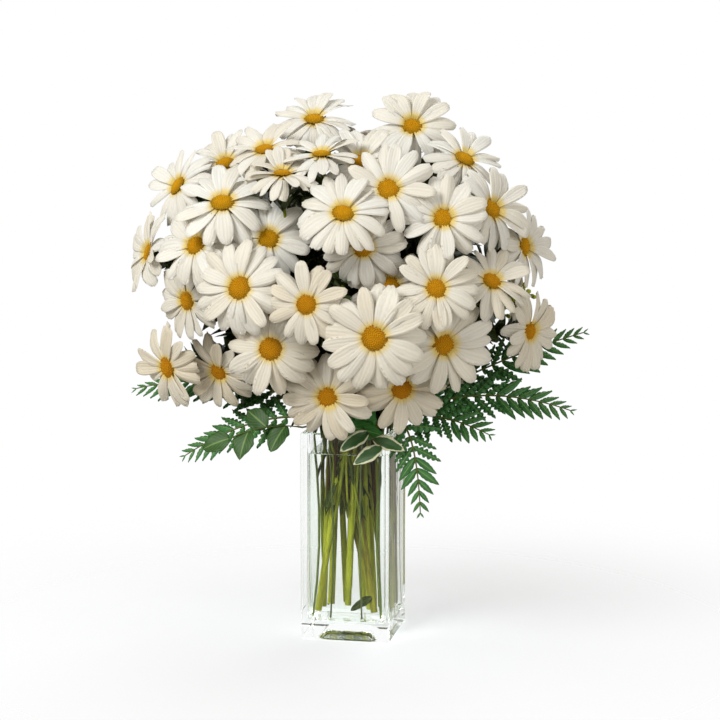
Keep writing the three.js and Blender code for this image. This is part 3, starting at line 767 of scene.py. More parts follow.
# Sets blades round each point: turned about the way it faces, tilted, and in two layers.
def makeRosetteTree():
    tree, add, given = newTree("rosette", {
        "Blades": "Collection", "Tilt": "Float", "Tilt Sway": "Float", "Sway": "Float",
        "Sink": "Float", "Layer": "Float", "Share": "Float", "Unlike": "Float", "Seed": "Int"})
    reach, cup, aged = [add("GeometryNodeInputNamedAttribute", name)
                        for name in ("reach", "cup", "aged")]
    count = add("GeometryNodeInputNamedAttribute", "count", data_type="INT")
    angles, nod = [add("GeometryNodeInputNamedAttribute", name, data_type="FLOAT_VECTOR")
                   for name in ("angles", "nod")]
    copies = add("GeometryNodeDuplicateElements", given["Geometry"], None, count,
                 domain="POINT")
    number = copies.outputs["Duplicate Index"]
    step = add("ShaderNodeMath DIVIDE", 2 * math.pi, count)
    seeds = [add("ShaderNodeMath ADD", given["Seed"], k) for k in range(4)]
    draws = [add("FunctionNodeRandomValue", -1, 1, None, seed) for seed in seeds]
    swing = add("ShaderNodeMath MULTIPLY_ADD", draws[0], given["Sway"], number)
    turn = add("ShaderNodeMath MULTIPLY", swing, step)
    swayed = add("ShaderNodeMath MULTIPLY_ADD", draws[1], given["Tilt Sway"], given["Tilt"])
    cupped = add("ShaderNodeMath ADD", swayed, cup)
    # Petals nod less on the side where they hang.
    aroundFace = add("FunctionNodeAxisAngleToRotation", (0, 0, 1), turn)
    outward = add("FunctionNodeRotateVector", (1, 0, 0), aroundFace)
    nodding = add("ShaderNodeVectorMath DOT_PRODUCT", outward, nod)
    hanging = add("ShaderNodeMath MULTIPLY", nodding, 0.6)
    swung = add("ShaderNodeMath MAXIMUM", nodding, hanging)
    tilt = add("ShaderNodeMath ADD", cupped, swung)
    lowered = add("ShaderNodeMath MULTIPLY", tilt, -1)
    base = add("FunctionNodeEulerToRotation", angles)
    turned = turnOwn(add, base, (0, 0, 1), turn)
    tilted = turnOwn(add, turned, (0, 1, 0), lowered)
    odd = add("ShaderNodeMath MODULO", number, 2)
    rise = add("ShaderNodeMath MULTIPLY_ADD", odd, given["Layer"], given["Sink"])
    lift = add("ShaderNodeCombineXYZ", Z=add("ShaderNodeMath MULTIPLY", rise, reach))
    shift = add("FunctionNodeRotateVector", lift, base)
    moved = add("GeometryNodeSetPosition", copies, Offset=shift)
    # Each petal's share of the shade colour: its bloom's age and painted shade, and a random tone
    # of its own.
    petalAgeAndShade = add("ShaderNodeMath MULTIPLY_ADD", draws[3], 0.12, aged)
    marked = add("GeometryNodeStoreNamedAttribute", moved, Name="aged", Value=petalAgeAndShade)
    share = add("ShaderNodeMath MULTIPLY_ADD", draws[2], given["Unlike"], given["Share"])
    size = add("ShaderNodeMath MULTIPLY", share, reach)
    return endTree(tree, placeForms(add, given, "Blades", marked, tilted, size), given)


# The florets of a disc follow the golden angle, over a low dome with a dimple in its middle.
discSet = {"florets": 130, "height": 0.075, "dimple": 0.02, "size": 0.021, "lean": 0.5}


# A shut floret: a rounded stub a little wider than deep, with a small point on top.
def floretMesh():
    rings = [ring(6, radius, z) for radius, z in ((0.9, -1.2), (1.0, 0.1), (0.62, 0.75))]
    return ringMesh("floret", [*rings, [(0, 0, 1.0)]])


# What the florets stand on, as shares of a bloom's reach.
def domeMesh(settings):
    height, dimple = settings["height"], settings["dimple"]
    sides, rings = 24, 5
    points = [(0, 0, height - dimple)]
    for share in [j / rings for j in range(1, rings + 1)]:
        points += ring(sides, bloomSet["disc"] * share,
                       height * (1 - share ** 2) - dimple * (1 - share) ** 2)
    under = tuple(reversed(range(len(points) - sides, len(points))))
    return makeMesh("dome", points, [*poleFaces(sides, rings), under])


def makeDiscTree():
    tree, add, given = newTree("discFlorets", {
        "Floret": "Collection", "Dome": "Collection", "Florets": "Int", "Disc": "Float",
        "Height": "Float", "Dimple": "Float", "Size": "Float", "Lean": "Float", "Seed": "Int"})
    reach = add("GeometryNodeInputNamedAttribute", "reach")
    angles = add("GeometryNodeInputNamedAttribute", "angles", data_type="FLOAT_VECTOR")
    base = add("FunctionNodeEulerToRotation", angles)
    dome, floret = [add("GeometryNodeCollectionInfo", given[name]) for name in ("Dome", "Floret")]
    domes = add("GeometryNodeInstanceOnPoints", given["Geometry"], Instance=dome,
                Rotation=base, Scale=reach)
    copies = add("GeometryNodeDuplicateElements", given["Geometry"], None, given["Florets"],
                 domain="POINT")
    number = copies.outputs["Duplicate Index"]
    half = add("ShaderNodeMath ADD", number, 0.5)
    share = add("ShaderNodeMath DIVIDE", half, given["Florets"])
    out = add("ShaderNodeMath SQRT", share)
    turn = add("ShaderNodeMath MULTIPLY", number, goldenAngle)
    radius = add("ShaderNodeMath MULTIPLY", out, given["Disc"])
    fall = add("ShaderNodeMath SUBTRACT", 1.0, share)
    crown = add("ShaderNodeMath MULTIPLY", fall, given["Height"])
    inward = add("ShaderNodeMath SUBTRACT", 1.0, out)
    squared = add("ShaderNodeMath POWER", inward, 2.0)
    sunk = add("ShaderNodeMath MULTIPLY", squared, given["Dimple"])
    height = add("ShaderNodeMath SUBTRACT", crown, sunk)
    outward = add("FunctionNodeAxisAngleToRotation", (0, 0, 1), turn)
    flat = add("ShaderNodeCombineXYZ", radius, Z=height)
    spun = add("FunctionNodeRotateVector", flat, outward)
    faced = add("FunctionNodeRotateVector", spun, base)
    shift = add("ShaderNodeVectorMath SCALE", faced, reach)
    moved = add("GeometryNodeSetPosition", copies, Offset=shift)
    marked = add("GeometryNodeStoreNamedAttribute", moved, Name="rim", Value=out)
    lean = add("ShaderNodeMath MULTIPLY", share, given["Lean"])
    turned = turnOwn(add, base, (0, 0, 1), turn)
    tilted = turnOwn(add, turned, (0, 1, 0), lean)
    unlike = add("FunctionNodeRandomValue", 0.85, 1.15, None, given["Seed"])
    grown = add("ShaderNodeMath MULTIPLY", unlike, given["Size"])
    size = add("ShaderNodeMath MULTIPLY", grown, reach)
    florets = add("GeometryNodeInstanceOnPoints", marked, Instance=floret, Rotation=tilted,
                  Scale=size)
    return endTree(tree, [domes, florets], given)


# The green cup behind each bloom, of small scales in two rings, as shares of its reach.
cupSet = {"forms": 3, "scales": 22, "sink": -0.28, "tilt": 0.85, "length": 0.31, "half": 0.05,
          "nod": 0.6}


def scaleForm(seed, settings):
    half = settings["half"] * random.Random(100 + seed).uniform(0.9, 1.15)

    def place(u, v):
        width = math.sin(math.pi * (0.12 + 0.84 * v)) ** 0.7
        out = settings["length"] * v
        return 0.02 + out, u * half * width, -0.25 * out * v - 0.3 * half * u * u

    return bladeMesh(f"scale{seed}", 2, 5, 0.012, place)


rosetteTree = makeRosetteTree()
discTree = makeDiscTree()
petalForms = makeCollection("petal", [petalForm(i, petalSet) for i in range(petalSet["forms"])])
scaleForms = makeCollection("scale", [scaleForm(i, cupSet) for i in range(cupSet["forms"])])
floretForm = makeCollection("floret", [floretMesh()])
domeForm = makeCollection("dome", [domeMesh(discSet)])

for order, (letter, spray) in enumerate(sprays.items()):
    heads = spray.values()
    draw = random.Random(order)
    # Low blooms get more of the shade colour on their petals and more of the darker orange on their
    # discs. This is painted shade, as they lie out of the light. The random part is their own tone.
    lowness = [min(1, max(0, (0.36 - head["centre"].z) / 0.12)) for head in heads]
    start = headMesh(
        "heads" + letter, heads, 1,
        count=[draw.randint(petalSet["fewest"], petalSet["most"]) for head in heads],
        cup=[draw.uniform(-0.06, 0.14) - petalSet["hang"] * max(0, head["facing"].z - 0.5)
             for head in heads],
        aged=[0.1 + 0.35 * low + draw.uniform(0, 0.2) for low in lowness])
    petals = grow("petals_" + letter, start, rosetteTree, {
        "Blades": petalForms, "Tilt": 0.0, "Tilt Sway": 0.1, "Sway": petalSet["sway"],
        "Sink": -0.02, "Layer": petalSet["layer"], "Share": petalSet["share"],
        "Unlike": petalSet["unlike"], "Seed": 10 * order, "Material": petalMaterial})
    curlInBox(petals, petalSet["curl"])
    addPiece("petals_" + letter, petals, spray)
    discs = grow("discs_" + letter, start, discTree, {
        "Floret": floretForm, "Dome": domeForm, "Florets": discSet["florets"],
        "Disc": bloomSet["disc"], "Height": discSet["height"], "Dimple": discSet["dimple"],
        "Size": discSet["size"], "Lean": discSet["lean"], "Seed": order,
        "Material": discMaterial})
    addPiece("discs_" + letter, discs, spray)

blooms = [head for spray in sprays.values() for head in spray.values()]
start = headMesh("cups", blooms, cupSet["nod"], count=[cupSet["scales"]] * len(blooms),
                 cup=[0.0] * len(blooms), aged=[0.0] * len(blooms))
cups = grow("cups", start, rosetteTree, {
    "Blades": scaleForms, "Tilt": cupSet["tilt"], "Tilt Sway": 0.08, "Sway": 0.2,
    "Sink": cupSet["sink"], "Layer": 0.03, "Share": 1.0, "Unlike": 0.1, "Seed": 900,
    "Material": leafMaterial})
addPiece("cups", cups, ["stems"])
print("blooms grown")


# Vase and water

vaseSize = {"half": 40, "height": 184, "wall": 5, "base": 16, "edge": 2.2, "lip": 1.6,
            "innerCorner": 7, "innerEdge": 4, "waterTop": 165, "into": 0.12,
            "hollow": {"half": 27, "corner": 8, "depth": 6, "slope": 9.5}}


# A row of a vase wall: half its width, its corner radius, its height, and how far up from
# level the surface there faces, in degrees. Past 90 it faces the inside.
def edgeTurn(half, corner, z, radius, start, end, steps=4):
    rows = []
    for k in range(steps + 1):
        tilt = math.radians(lerp(start, end, k / steps))
        rows.append((half + radius * math.cos(tilt), corner + radius * math.cos(tilt),
                     z + radius * math.sin(tilt), math.degrees(tilt)))
    return rows


# The points of a row and the normal at each.
def squareLoop(half, corner, z, tilt, perCorner=8):
    flat, tilt = half - corner, math.radians(tilt)
    loop = []
    for quarter, (sx, sy) in enumerate(((1, 1), (-1, 1), (-1, -1), (1, -1))):
        for k in range(perCorner + 1):
            turn = math.pi / 2 * (quarter + k / perCorner)
            across, along = math.cos(turn), math.sin(turn)
            point = Vector((sx * flat + corner * across, sy * flat + corner * along, z))
            normal = Vector((math.cos(tilt) * across, math.cos(tilt) * along, math.sin(tilt)))
            loop.append((point * mm, normal))
    return loop


# Rows one above another, with the true normals of the rounded form, so that the glass bends
# light as the real one does.
def loftMesh(name, rows):
    loops = [squareLoop(*row) for row in rows]
    mesh = ringMesh(name, [[point for point, _ in loop] for loop in loops])
    mesh.normals_split_custom_set_from_vertices(
        [tuple(normal) for loop in loops for _, normal in loop])
    return mesh


def vaseRows(size):
    edge, lip, hollow = size["edge"], size["lip"], size["hollow"]
    inner, inside, soft = size["half"] - size["wall"], size["innerCorner"], size["innerEdge"]
    rows = []
    for k in (1, 0.75, 0.5, 0.25, 0):
        # The underside is hollowed a little, and stands on its rim.
        rise = hollow["depth"] * math.sin(math.pi / 2 * k)
        steep = hollow["depth"] * math.pi / 2 * math.cos(math.pi / 2 * k) / hollow["slope"]
        rows.append((hollow["half"] - hollow["slope"] * k, hollow["corner"], rise,
                     -90 - math.degrees(math.atan(steep))))
    rows.append((hollow["half"], hollow["corner"], 0, -90))
    rows += edgeTurn(size["half"] - edge, 0.4, edge, edge, -90, 0)
    rows += edgeTurn(size["half"] - lip, edge + 0.4 - lip, size["height"] - lip, lip, 0, 90)
    rows += edgeTurn(inner + lip, inside + lip, size["height"] - lip, lip, 90, 180)
    rows += [(half, corner, z, 180 + tilt) for half, corner, z, tilt in edgeTurn(
        inner - soft, inside - soft, size["base"] + soft, soft, 0, -90)]
    return rows


# The water reaches a hair into the glass, so that no film of air shows between them, and
# creeps a little way up the wall all round.
def waterRows(size):
    half = size["half"] - size["wall"] + size["into"]
    corner = size["innerCorner"] + size["into"]
    soft, top = size["innerEdge"], size["waterTop"]
    rows = edgeTurn(half - soft, corner - soft, size["base"] - size["into"] + soft, soft,
                    -90, 0)
    creep = ((0, 0.5, 0), (0, 0.5, 150), (0.4, 0.15, 115), (1.2, 0, 90))
    rows += [(half - into, corner - into, top + up, tilt) for into, up, tilt in creep]
    return rows


vase = loftMesh("vase", vaseRows(vaseSize))
vaseGuide = bpy.data.objects.new("vaseGuide", vase.copy())
addPiece("square_vase", vase, ["vase"], glassMaterial)
addPiece("vase_water", loftMesh("water", waterRows(vaseSize)), ["water"],
         waterMaterial)
print("vase ready")


# Stems

# Where each main stem stands and where it passes the mouth, in mm, and its tint at both: 0 is
# deep green, 0.5 yellow-green and 1 brown.
# Most stems are darker at the mouth than at the foot, deep green or brown: partly their own colour,
# partly painted shade from the bouquet above.
stemRoutes = {
    "a": {"foot": (-8, 24, 24), "mouth": (-12, 3), "tint": (0.35, 0.2)},
    "b": {"foot": (8, 20, 22), "mouth": (2, 2), "tint": (0.45, 0.3)},
    "c": {"foot": (16, 4, 22), "mouth": (12, -10), "tint": (0.4, 0.2)},
    "d": {"foot": (27, 8, 24), "mouth": (20, -5), "tint": (0.8, 1.0)},
    "e": {"foot": (0, -16, 44), "mouth": (6, -18), "tint": (0.3, 0.2)},
    "f": {"foot": (-28, -14, 22), "mouth": (-3, -18), "tint": (0.5, 0.3)},
    "g": {"foot": (24, -22, 24), "mouth": (-1, -13), "tint": (0.6, 1.0)},
    "h": {"foot": (22, -8, 24), "mouth": (-16, -14), "tint": (0.5, 0.9)},
    "i": {"foot": (-25, -4, 24), "mouth": (-18, -5), "tint": (0.5, 0.25)},
    "j": {"foot": (-20, 10, 24), "mouth": (-14, 14), "tint": (0.45, 0.2)},
    "k": {"foot": (-4, 6, 24), "mouth": (0, 14), "tint": (0.3, 0.1)},
    "l": {"foot": (18, 20, 24), "mouth": (12, 8), "tint": (0.45, 0.35)},
}
stemSet = {"neck": (-2, -4, 206), "hub": 0.62, "thick": 3.2, "thin": 1.8, "branch": 1.4,
           "branches": (0.6, 0.95), "pull": 0.4, "bloomPull": 0.45, "cup": 9.8, "sides": 12,
           "ribs": 0.1, "shoots": 4, "shootFrom": (0.15, 0.75), "shootOut": 7,
           "shoot": (1.0, 2.0), "shootTints": (0.0, 0.12, 0.25, 0.95)}


def mainBend(route, heads, settings):
    foot = Vector(route["foot"]) * mm
    mouth = Vector((*route["mouth"], vaseSize["height"])) * mm
    middle = sum((head["centre"] for head in heads), Vector()) / len(heads)
    end = (Vector(settings["neck"]) * mm).lerp(middle, settings["hub"])
    rise = (mouth - foot).normalized()
    pull = mouth + rise * settings["pull"] * (end - mouth).length
    return foot, mouth, pull, end


def reachTo(head, root, settings):
    back = head["facing"] * -1
    bend = head["centre"] + back * settings["bloomPull"] * (head["centre"] - root).length
    end = head["centre"] + back * settings["cup"] * mm
    points = [bezier(root, bend, end, k / 12) for k in range(13)]
    return points + [head["centre"] + back * 3 * mm]


# Leaves are smaller towards a bloom.
def leafRows(points):
    last = len(points) - 1
    return [(p, {"size": lerp(1.0, leafSet["topShare"], k / last)})
            for k, p in enumerate(points)]


# A thin side shoot leaves its stem under water and ends in the leaves of the neck.
def shootRows(foot, mouth, draw, settings):
    out = Vector((draw.uniform(-1, 1), draw.uniform(-1, 1), 0)) * settings["shootOut"] * mm
    root = foot.lerp(mouth, draw.uniform(*settings["shootFrom"]))
    bend = root.lerp(mouth, 0.3) + out
    end = mouth + out + Vector((0, 0, 8 * mm))
    thick, tint = draw.uniform(*settings["shoot"]), draw.choice(settings["shootTints"])
    return [(bezier(root, bend, end, k / 6), {"thick": thick * mm, "tint": tint})
            for k in range(7)]


# One line for each main stem, straight in the vase and bending out to its last bloom, and
# one for each shoot and branch. With them come the lines that bear leaves, over the neck and
# under water.
def stemLines(settings):
    draw = random.Random(11)
    lines, upper, sunk = [], [], []
    for letter, route in stemRoutes.items():
        *others, lastHead = heads = list(sprays[letter].values())
        foot, mouth, pull, end = mainBend(route, heads, settings)
        steps = 6
        bend = [bezier(mouth, pull, end, k / 10) for k in range(11)]
        tail = reachTo(lastHead, end, settings)[1:]
        rows = []
        for k, point in enumerate([foot.lerp(mouth, k / steps) for k in range(steps)]
                                  + bend + tail):
            inVase, above = min(1, k / steps), min(1, max(0, k - steps) / 8)
            tint = lerp(lerp(*route["tint"], inVase), 0.15, above)
            thick = lerp(settings["thick"], settings["thin"], 0.4 * inVase + 0.6 * above)
            rows.append((point, {"thick": thick * mm, "tint": tint}))
        lines.append(rows)
        lines += [shootRows(foot, mouth, draw, settings) for _ in range(settings["shoots"])]
        sunk.append([(foot.lerp(mouth, share), {"size": 1.0})
                     for share in (draw.uniform(*stripSet["from"]), 1)])
        upper.append(leafRows(bend[3:] + tail[:-2]))
        for order, head in enumerate(others):
            along = lerp(*settings["branches"], order / len(others))
            arm = reachTo(head, bezier(mouth, pull, end, along), settings)
            lines.append([(p, {"thick": settings["branch"] * mm, "tint": 0.15}) for p in arm])
            upper.append(leafRows(arm[1:-2]))
    return lines, upper, sunk


def makeStemTree():
    tree, add, given = newTree("ribbedStems", {"Sides": "Int", "Ribs": "Float"})
    curves = add("GeometryNodeMeshToCurve", given["Geometry"])
    profile = add("GeometryNodeCurvePrimitiveCircle", given["Sides"], 1.0)
    # Every other point of the profile is drawn in, which leaves ribs.
    odd = add("ShaderNodeMath MODULO", add("GeometryNodeInputIndex"), 2)
    sunk = add("ShaderNodeMath MULTIPLY", odd, given["Ribs"])
    inward = add("ShaderNodeMath MULTIPLY", sunk, -1)
    shift = add("ShaderNodeVectorMath SCALE", add("GeometryNodeInputPosition"), inward)
    ribbed = add("GeometryNodeSetPosition", profile, Offset=shift)
    return endTree(tree, tubeAlong(add, curves, ribbed), given)


# Leaves of the daisy: narrow, with a few blunt teeth, dark green.
leafSet = {"forms": 5, "length": 50, "half": 12.5, "thick": 0.35, "rows": 7, "every": 2.9,
           "lean": 0.85, "least": 0.3, "topShare": 0.55, "neckLeaves": 150,
           "neck": (30, 30, 21), "neckUp": 9}
# Strips of leaf that were left on the stems under water, and hang down there.
stripSet = {"forms": 4, "length": 42, "half": 3.4, "thick": 0.35, "rows": 7,
            "from": (0.6, 0.92), "every": 8, "lean": -1.3, "least": 0.2}


def leafForm(seed, settings):
    draw = random.Random(200 + seed)
    length = settings["length"] * draw.uniform(0.75, 1.1) * mm
    half = settings["half"] * draw.uniform(0.85, 1.2) * mm
    droop = draw.uniform(0.05, 0.35)
    twist = draw.uniform(-0.4, 0.4)

    def place(u, v):
        width = math.sin(math.pi * min(1, 0.06 + 0.94 * v)) ** 0.8
        tooth = 1 + 0.22 * math.cos(8 * math.pi * v) * v * abs(u) ** 2
        y = u * half * width * tooth
        z = half * width * (0.35 * u * u + twist * u * v) - droop * length * v * v
        return length * v, y, z

    return bladeMesh(f"leaf{seed}", 2, settings["rows"], settings["thick"] * mm, place)


# Leaves along each line. One that would come out through the guarded thing stops short.
def makeLeafTree():
    tree, add, given = newTree("stemLeaves", {
        "Leaves": "Collection", "Guarded": "Object", "Every": "Float", "Lean": "Float",
        "Length": "Float", "Least": "Float", "Seed": "Int"})
    curves = add("GeometryNodeMeshToCurve", given["Geometry"])
    spots = add("GeometryNodeCurveToPoints", curves, given["Every"], mode="LENGTH")
    turn = add("ShaderNodeMath MULTIPLY", add("GeometryNodeInputIndex"), goldenAngle)
    unlike, sway = [add("FunctionNodeRandomValue", low, high, None, given["Seed"])
                    for low, high in ((0.65, 1.1), (-1.3, -0.75))]
    lean = add("ShaderNodeMath MULTIPLY", sway, given["Lean"])
    turned = turnOwn(add, spots.outputs["Rotation"], (0, 0, 1), turn)
    tilted = turnOwn(add, turned, (0, 1, 0), lean)
    ahead = add("FunctionNodeRotateVector", (1, 0, -0.2), tilted)
    guarded = add("GeometryNodeObjectInfo", given["Guarded"])
    sight = add("GeometryNodeRaycast", guarded.outputs["Geometry"], Ray_Direction=ahead,
                Source_Position=add("GeometryNodeInputPosition"), Ray_Length=given["Length"])
    clear = add("ShaderNodeMath DIVIDE", sight.outputs["Hit Distance"], given["Length"])
    short = add("ShaderNodeMath MULTIPLY", clear, 0.84)
    room = add("GeometryNodeSwitch", sight.outputs["Is Hit"], 2.0, short, input_type="FLOAT")
    share = add("GeometryNodeInputNamedAttribute", "size")
    wanted = add("ShaderNodeMath MULTIPLY", unlike, share)
    size = add("ShaderNodeMath MINIMUM", wanted, room)
    kept = add("ShaderNodeMath GREATER_THAN", size, given["Least"])
    return endTree(tree, placeForms(add, given, "Leaves", spots, tilted, size, kept=kept), given)


# Low leaves packed round the neck: they stand out of a small dark knot of foliage.
def makeNeckTree():
    tree, add, given = newTree("neckLeaves", {
        "Leaves": "Collection", "Density": "Float", "Seed": "Int"})
    spots = add("GeometryNodeDistributePointsOnFaces", given["Geometry"],
                Density=given["Density"], Seed=given["Seed"])
    sway = add("FunctionNodeRandomValue", (-0.6, -0.6, -0.2), (0.6, 0.6, 0.9), None,
               given["Seed"], data_type="FLOAT_VECTOR")
    ahead = add("ShaderNodeVectorMath ADD", spots.outputs["Normal"], sway)
    turned = add("FunctionNodeAxesToRotation", ahead, (0, 0, 1), primary_axis="X",
                 secondary_axis="Z")
    size = add("FunctionNodeRandomValue", 0.5, 0.9, None, given["Seed"])
    placed = placeForms(add, given, "Leaves", spots, turned, size)
    return endTree(tree, [placed, given["Geometry"]], given)


# "size" is half the knot's width, depth and height.
def knotMesh(name, middle, size):
    sides, rings = 20, 9
    points = [middle + Vector((0, 0, size[2]))]
    for j in range(1, rings + 1):
        tilt = math.pi * j / (rings + 1)
        points += [middle + Vector((size[0] * math.sin(tilt) * x, size[1] * math.sin(tilt) * y,
                                    size[2] * math.cos(tilt))) for x, y, _ in ring(sides, 1, 0)]
    points.append(middle - Vector((0, 0, size[2])))
    last = 1 + (rings - 1) * sides
    under = [(last + (k + 1) % sides, last + k, len(points) - 1) for k in range(sides)]
    return makeMesh(name, points, poleFaces(sides, rings) + under)


lines, upper, sunk = stemLines(stemSet)
stems = grow("stems", lineMesh("stemLines", lines), makeStemTree(), {
    "Sides": stemSet["sides"], "Ribs": stemSet["ribs"], "Material": stemMaterial})
addPiece("ribbed_stems", stems, ["stems"])

allBlooms = joinMeshes("allBlooms", [(piece.data, unturned) for piece in scene.objects
                                     if piece.name.startswith(("petals_", "discs_"))])
bloomGuide = bpy.data.objects.new("bloomGuide", allBlooms)
leafTree = makeLeafTree()
leafForms, stripForms = [
    makeCollection(name, [leafForm(i, settings) for i in range(settings["forms"])])
    for name, settings in (("leaf", leafSet), ("strip", stripSet))]
for name, some, settings, forms, guide, material in (
        ("stem_leaves", upper, leafSet, leafForms, bloomGuide, leafMaterial),
        ("sunk_leaves", sunk, stripSet, stripForms, vaseGuide, soakedMaterial)):
    leaves = grow(name, lineMesh(name + "Lines", some), leafTree, {
        "Leaves": forms, "Guarded": guide, "Every": settings["every"] * mm,
        "Lean": settings["lean"], "Length": settings["length"] * mm,
        "Least": settings["least"], "Seed": 3, "Material": material})
    addPiece(name, leaves, ["stems"])

neckAt = (Vector(stemSet["neck"]) + Vector((0, 0, leafSet["neckUp"]))) * mm
knot = knotMesh("knot", neckAt, [0.75 * s * mm for s in leafSet["neck"]])
knotArea = sum(face.area for face in knot.polygons)
neckLeaves = grow("neck_leaves", knot, makeNeckTree(), {
    "Leaves": leafForms, "Density": leafSet["neckLeaves"] / knotArea, "Seed": 4,
    "Material": leafMaterial})
addPiece("neck_leaves", neckLeaves, ["stems"])
print("stems and leaves grown")


# Fern fronds

# Each stalk stands in the vase, passes the mouth, and then arches over "crown" to its tip.
# "faces" is the way that the upper side turns. All in mm.
frondPlans = {
    "fern_left_low": {"foot": (-31, -26), "mouth": (-31, -24), "start": (-50, -26, 196),
                      "crown": (-96, -26, 194), "tip": (-148, -40, 158),
                      "faces": (-0.2, -0.7, 0.7), "length": 32},
    "fern_left_high": {"foot": (-31, 12), "mouth": (-31, 12), "start": (-56, 14, 208),
                       "crown": (-130, 14, 232), "tip": (-208, 2, 212),
                       "faces": (0, -0.6, 0.8), "length": 34},
    "fern_right_low": {"foot": (31, -24), "mouth": (31, -24), "start": (48, -45, 200),
                       "crown": (68, -62, 192), "tip": (70, -58, 116),
                       "faces": (0.2, -0.95, 0.2), "length": 28},
    "fern_right_level": {"foot": (31, -8), "mouth": (32, -6), "start": (50, -14, 198),
                         "crown": (86, -34, 206), "tip": (130, -50, 188),
                         "faces": (0, -0.75, 0.66), "length": 28},
    "fern_right_middle": {"foot": (31, 8), "mouth": (32, 10), "start": (56, 14, 202),
                          "crown": (120, 18, 226), "tip": (196, 8, 202),
                          "faces": (0, -0.7, 0.7), "length": 32},
    "fern_right_high": {"foot": (29, 29), "mouth": (30, 28), "start": (56, 36, 206),
                        "crown": (122, 54, 244), "tip": (204, 46, 270),
                        "faces": (0.1, -0.8, 0.6), "length": 32},
    "fern_back": {"foot": (-26, 31), "mouth": (-20, 31), "start": (-34, 50, 198),
                  "crown": (-50, 84, 204), "tip": (-66, 124, 176),
                  "faces": (0, 0.6, 0.8), "length": 32},
}
frondSet = {"every": 9.5, "spread": 1.06, "shortest": 6, "stalk": 1.1, "tip": 0.5,
            "forms": 3, "plain": 0.5, "end": 0.965, "bow": 0.66}


def archOf(plan):
    return [Vector(plan[key]) * mm for key in ("start", "crown", "tip")]


# Points of a stalk from its foot to its tip, each with its share of the arch, below zero in
# the vase.
def stalkLine(plan, settings):
    foot = Vector((*plan["foot"], vaseSize["base"] + 3)) * mm
    mouth = Vector((*plan["mouth"], vaseSize["height"] + 2)) * mm
    start, crown, tip = archOf(plan)
    bend = mouth + Vector((0, 0, 8 * mm))
    bowed = mouth.lerp(foot, 0.5) * settings["bow"]
    bowed.z = mouth.z / 2
    rows = [(bezier(foot, bowed, mouth, k / 5), -1 + 0.08 * k) for k in range(5)]
    rows += [(bezier(mouth, bend, start, k / 6), -0.6 + 0.09 * k) for k in range(6)]
    rows += [(bezier(start, crown, tip, settings["end"] * k / 20), k / 20)
             for k in range(21)]
    return rows


# A leaflet of unit length. Those low on a frond are cut into blunt lobes that point ahead,
# and those near its tip are plain.
def pinnaForm(seed, settings):
    draw = random.Random(300 + seed)
    isPlain = seed >= settings["forms"]
    lobes = draw.choice((5, 6))
    half = (0.17 if isPlain else 0.175) * draw.uniform(0.9, 1.1)
    notch = 0.12 if isPlain else 0.55
    droop = draw.uniform(0.02, 0.2)

    def place(u, v):
        outline = math.sin(math.pi * (0.05 + 0.93 * v)) ** 0.75 * (1.15 - 0.5 * v)
        lobe = abs(math.sin(math.pi * lobes * v)) ** 0.7
        y = u * half * outline * (1 - notch * (1 - lobe))
        x = v + 0.35 * abs(y) * (1 - v)
        return x, y, -droop * v * v - 0.5 * half * u * u + 0.02 * lobe * abs(u)

    return bladeMesh(f"pinna{seed}", 2, 3 * lobes, 0.018, place)


def makeFrondTree():
    tree, add, given = newTree("fernFrond", {
        "Leaflets": "Collection", "Forms": "Int", "Plain": "Float", "Every": "Float",
        "Length": "Float", "Shortest": "Float", "Spread": "Float", "Seed": "Int"})
    share = add("GeometryNodeInputNamedAttribute", "share")
    faces = add("GeometryNodeInputNamedAttribute", "faces", data_type="FLOAT_VECTOR")
    curve = add("GeometryNodeMeshToCurve", given["Geometry"])
    rib = tubeAlong(add, curve, add("GeometryNodeCurvePrimitiveCircle", 8, 1.0))
    spots = add("GeometryNodeCurveToPoints", curve, given["Every"], mode="LENGTH")
    ahead = add("FunctionNodeAxesToRotation", spots.outputs["Tangent"], faces,
                primary_axis="X", secondary_axis="Z")
    marked = add("GeometryNodeStoreNamedAttribute", spots, Name="ahead", Value=ahead,
                 data_type="QUATERNION")
    pairs = add("GeometryNodeDuplicateElements", marked, None, 2, domain="POINT")
    side = add("ShaderNodeMapRange", pairs.outputs["Duplicate Index"], To_Min=-1.0, To_Max=1.0)
    sway = add("FunctionNodeRandomValue", 0.9, 1.1, None, given["Seed"])
    # Leaflets near the tip point further ahead.
    closing = add("ShaderNodeMath MULTIPLY_ADD", share, -0.45, 1.0)
    opened = add("ShaderNodeMath MULTIPLY", closing, given["Spread"])
    spread = add("ShaderNodeMath MULTIPLY", sway, opened)
    turn = add("ShaderNodeMath MULTIPLY", side, spread)
    own = add("GeometryNodeInputNamedAttribute", "ahead", data_type="QUATERNION")
    turned = turnOwn(add, own, (0, 0, 1), turn)
    # They are longest a little way up the frond.
    rest = add("ShaderNodeMath SUBTRACT", 1.0, share)
    tapered = add("ShaderNodeMath POWER", rest, 0.8)
    grown = add("ShaderNodeMath ADD", share, 0.75)
    shape = add("ShaderNodeMath MULTIPLY", tapered, grown)
    length = add("ShaderNodeMath MULTIPLY_ADD", shape, given["Length"], given["Shortest"])
    size = add("ShaderNodeMath MULTIPLY", length, sway)
    leafy = add("FunctionNodeCompare GREATER_THAN", share, 0.02)
    isPlain = add("ShaderNodeMath GREATER_THAN", share, given["Plain"])
    last = add("ShaderNodeMath SUBTRACT", given["Forms"], 1.0)
    drawn = add("FunctionNodeRandomValue", 0, last, None, given["Seed"], data_type="INT")
    pick = add("ShaderNodeMath MULTIPLY_ADD", isPlain, given["Forms"], drawn)
    placed = placeForms(add, given, "Leaflets", pairs, turned, size, pick, leafy)
    return endTree(tree, [placed, rib], given)


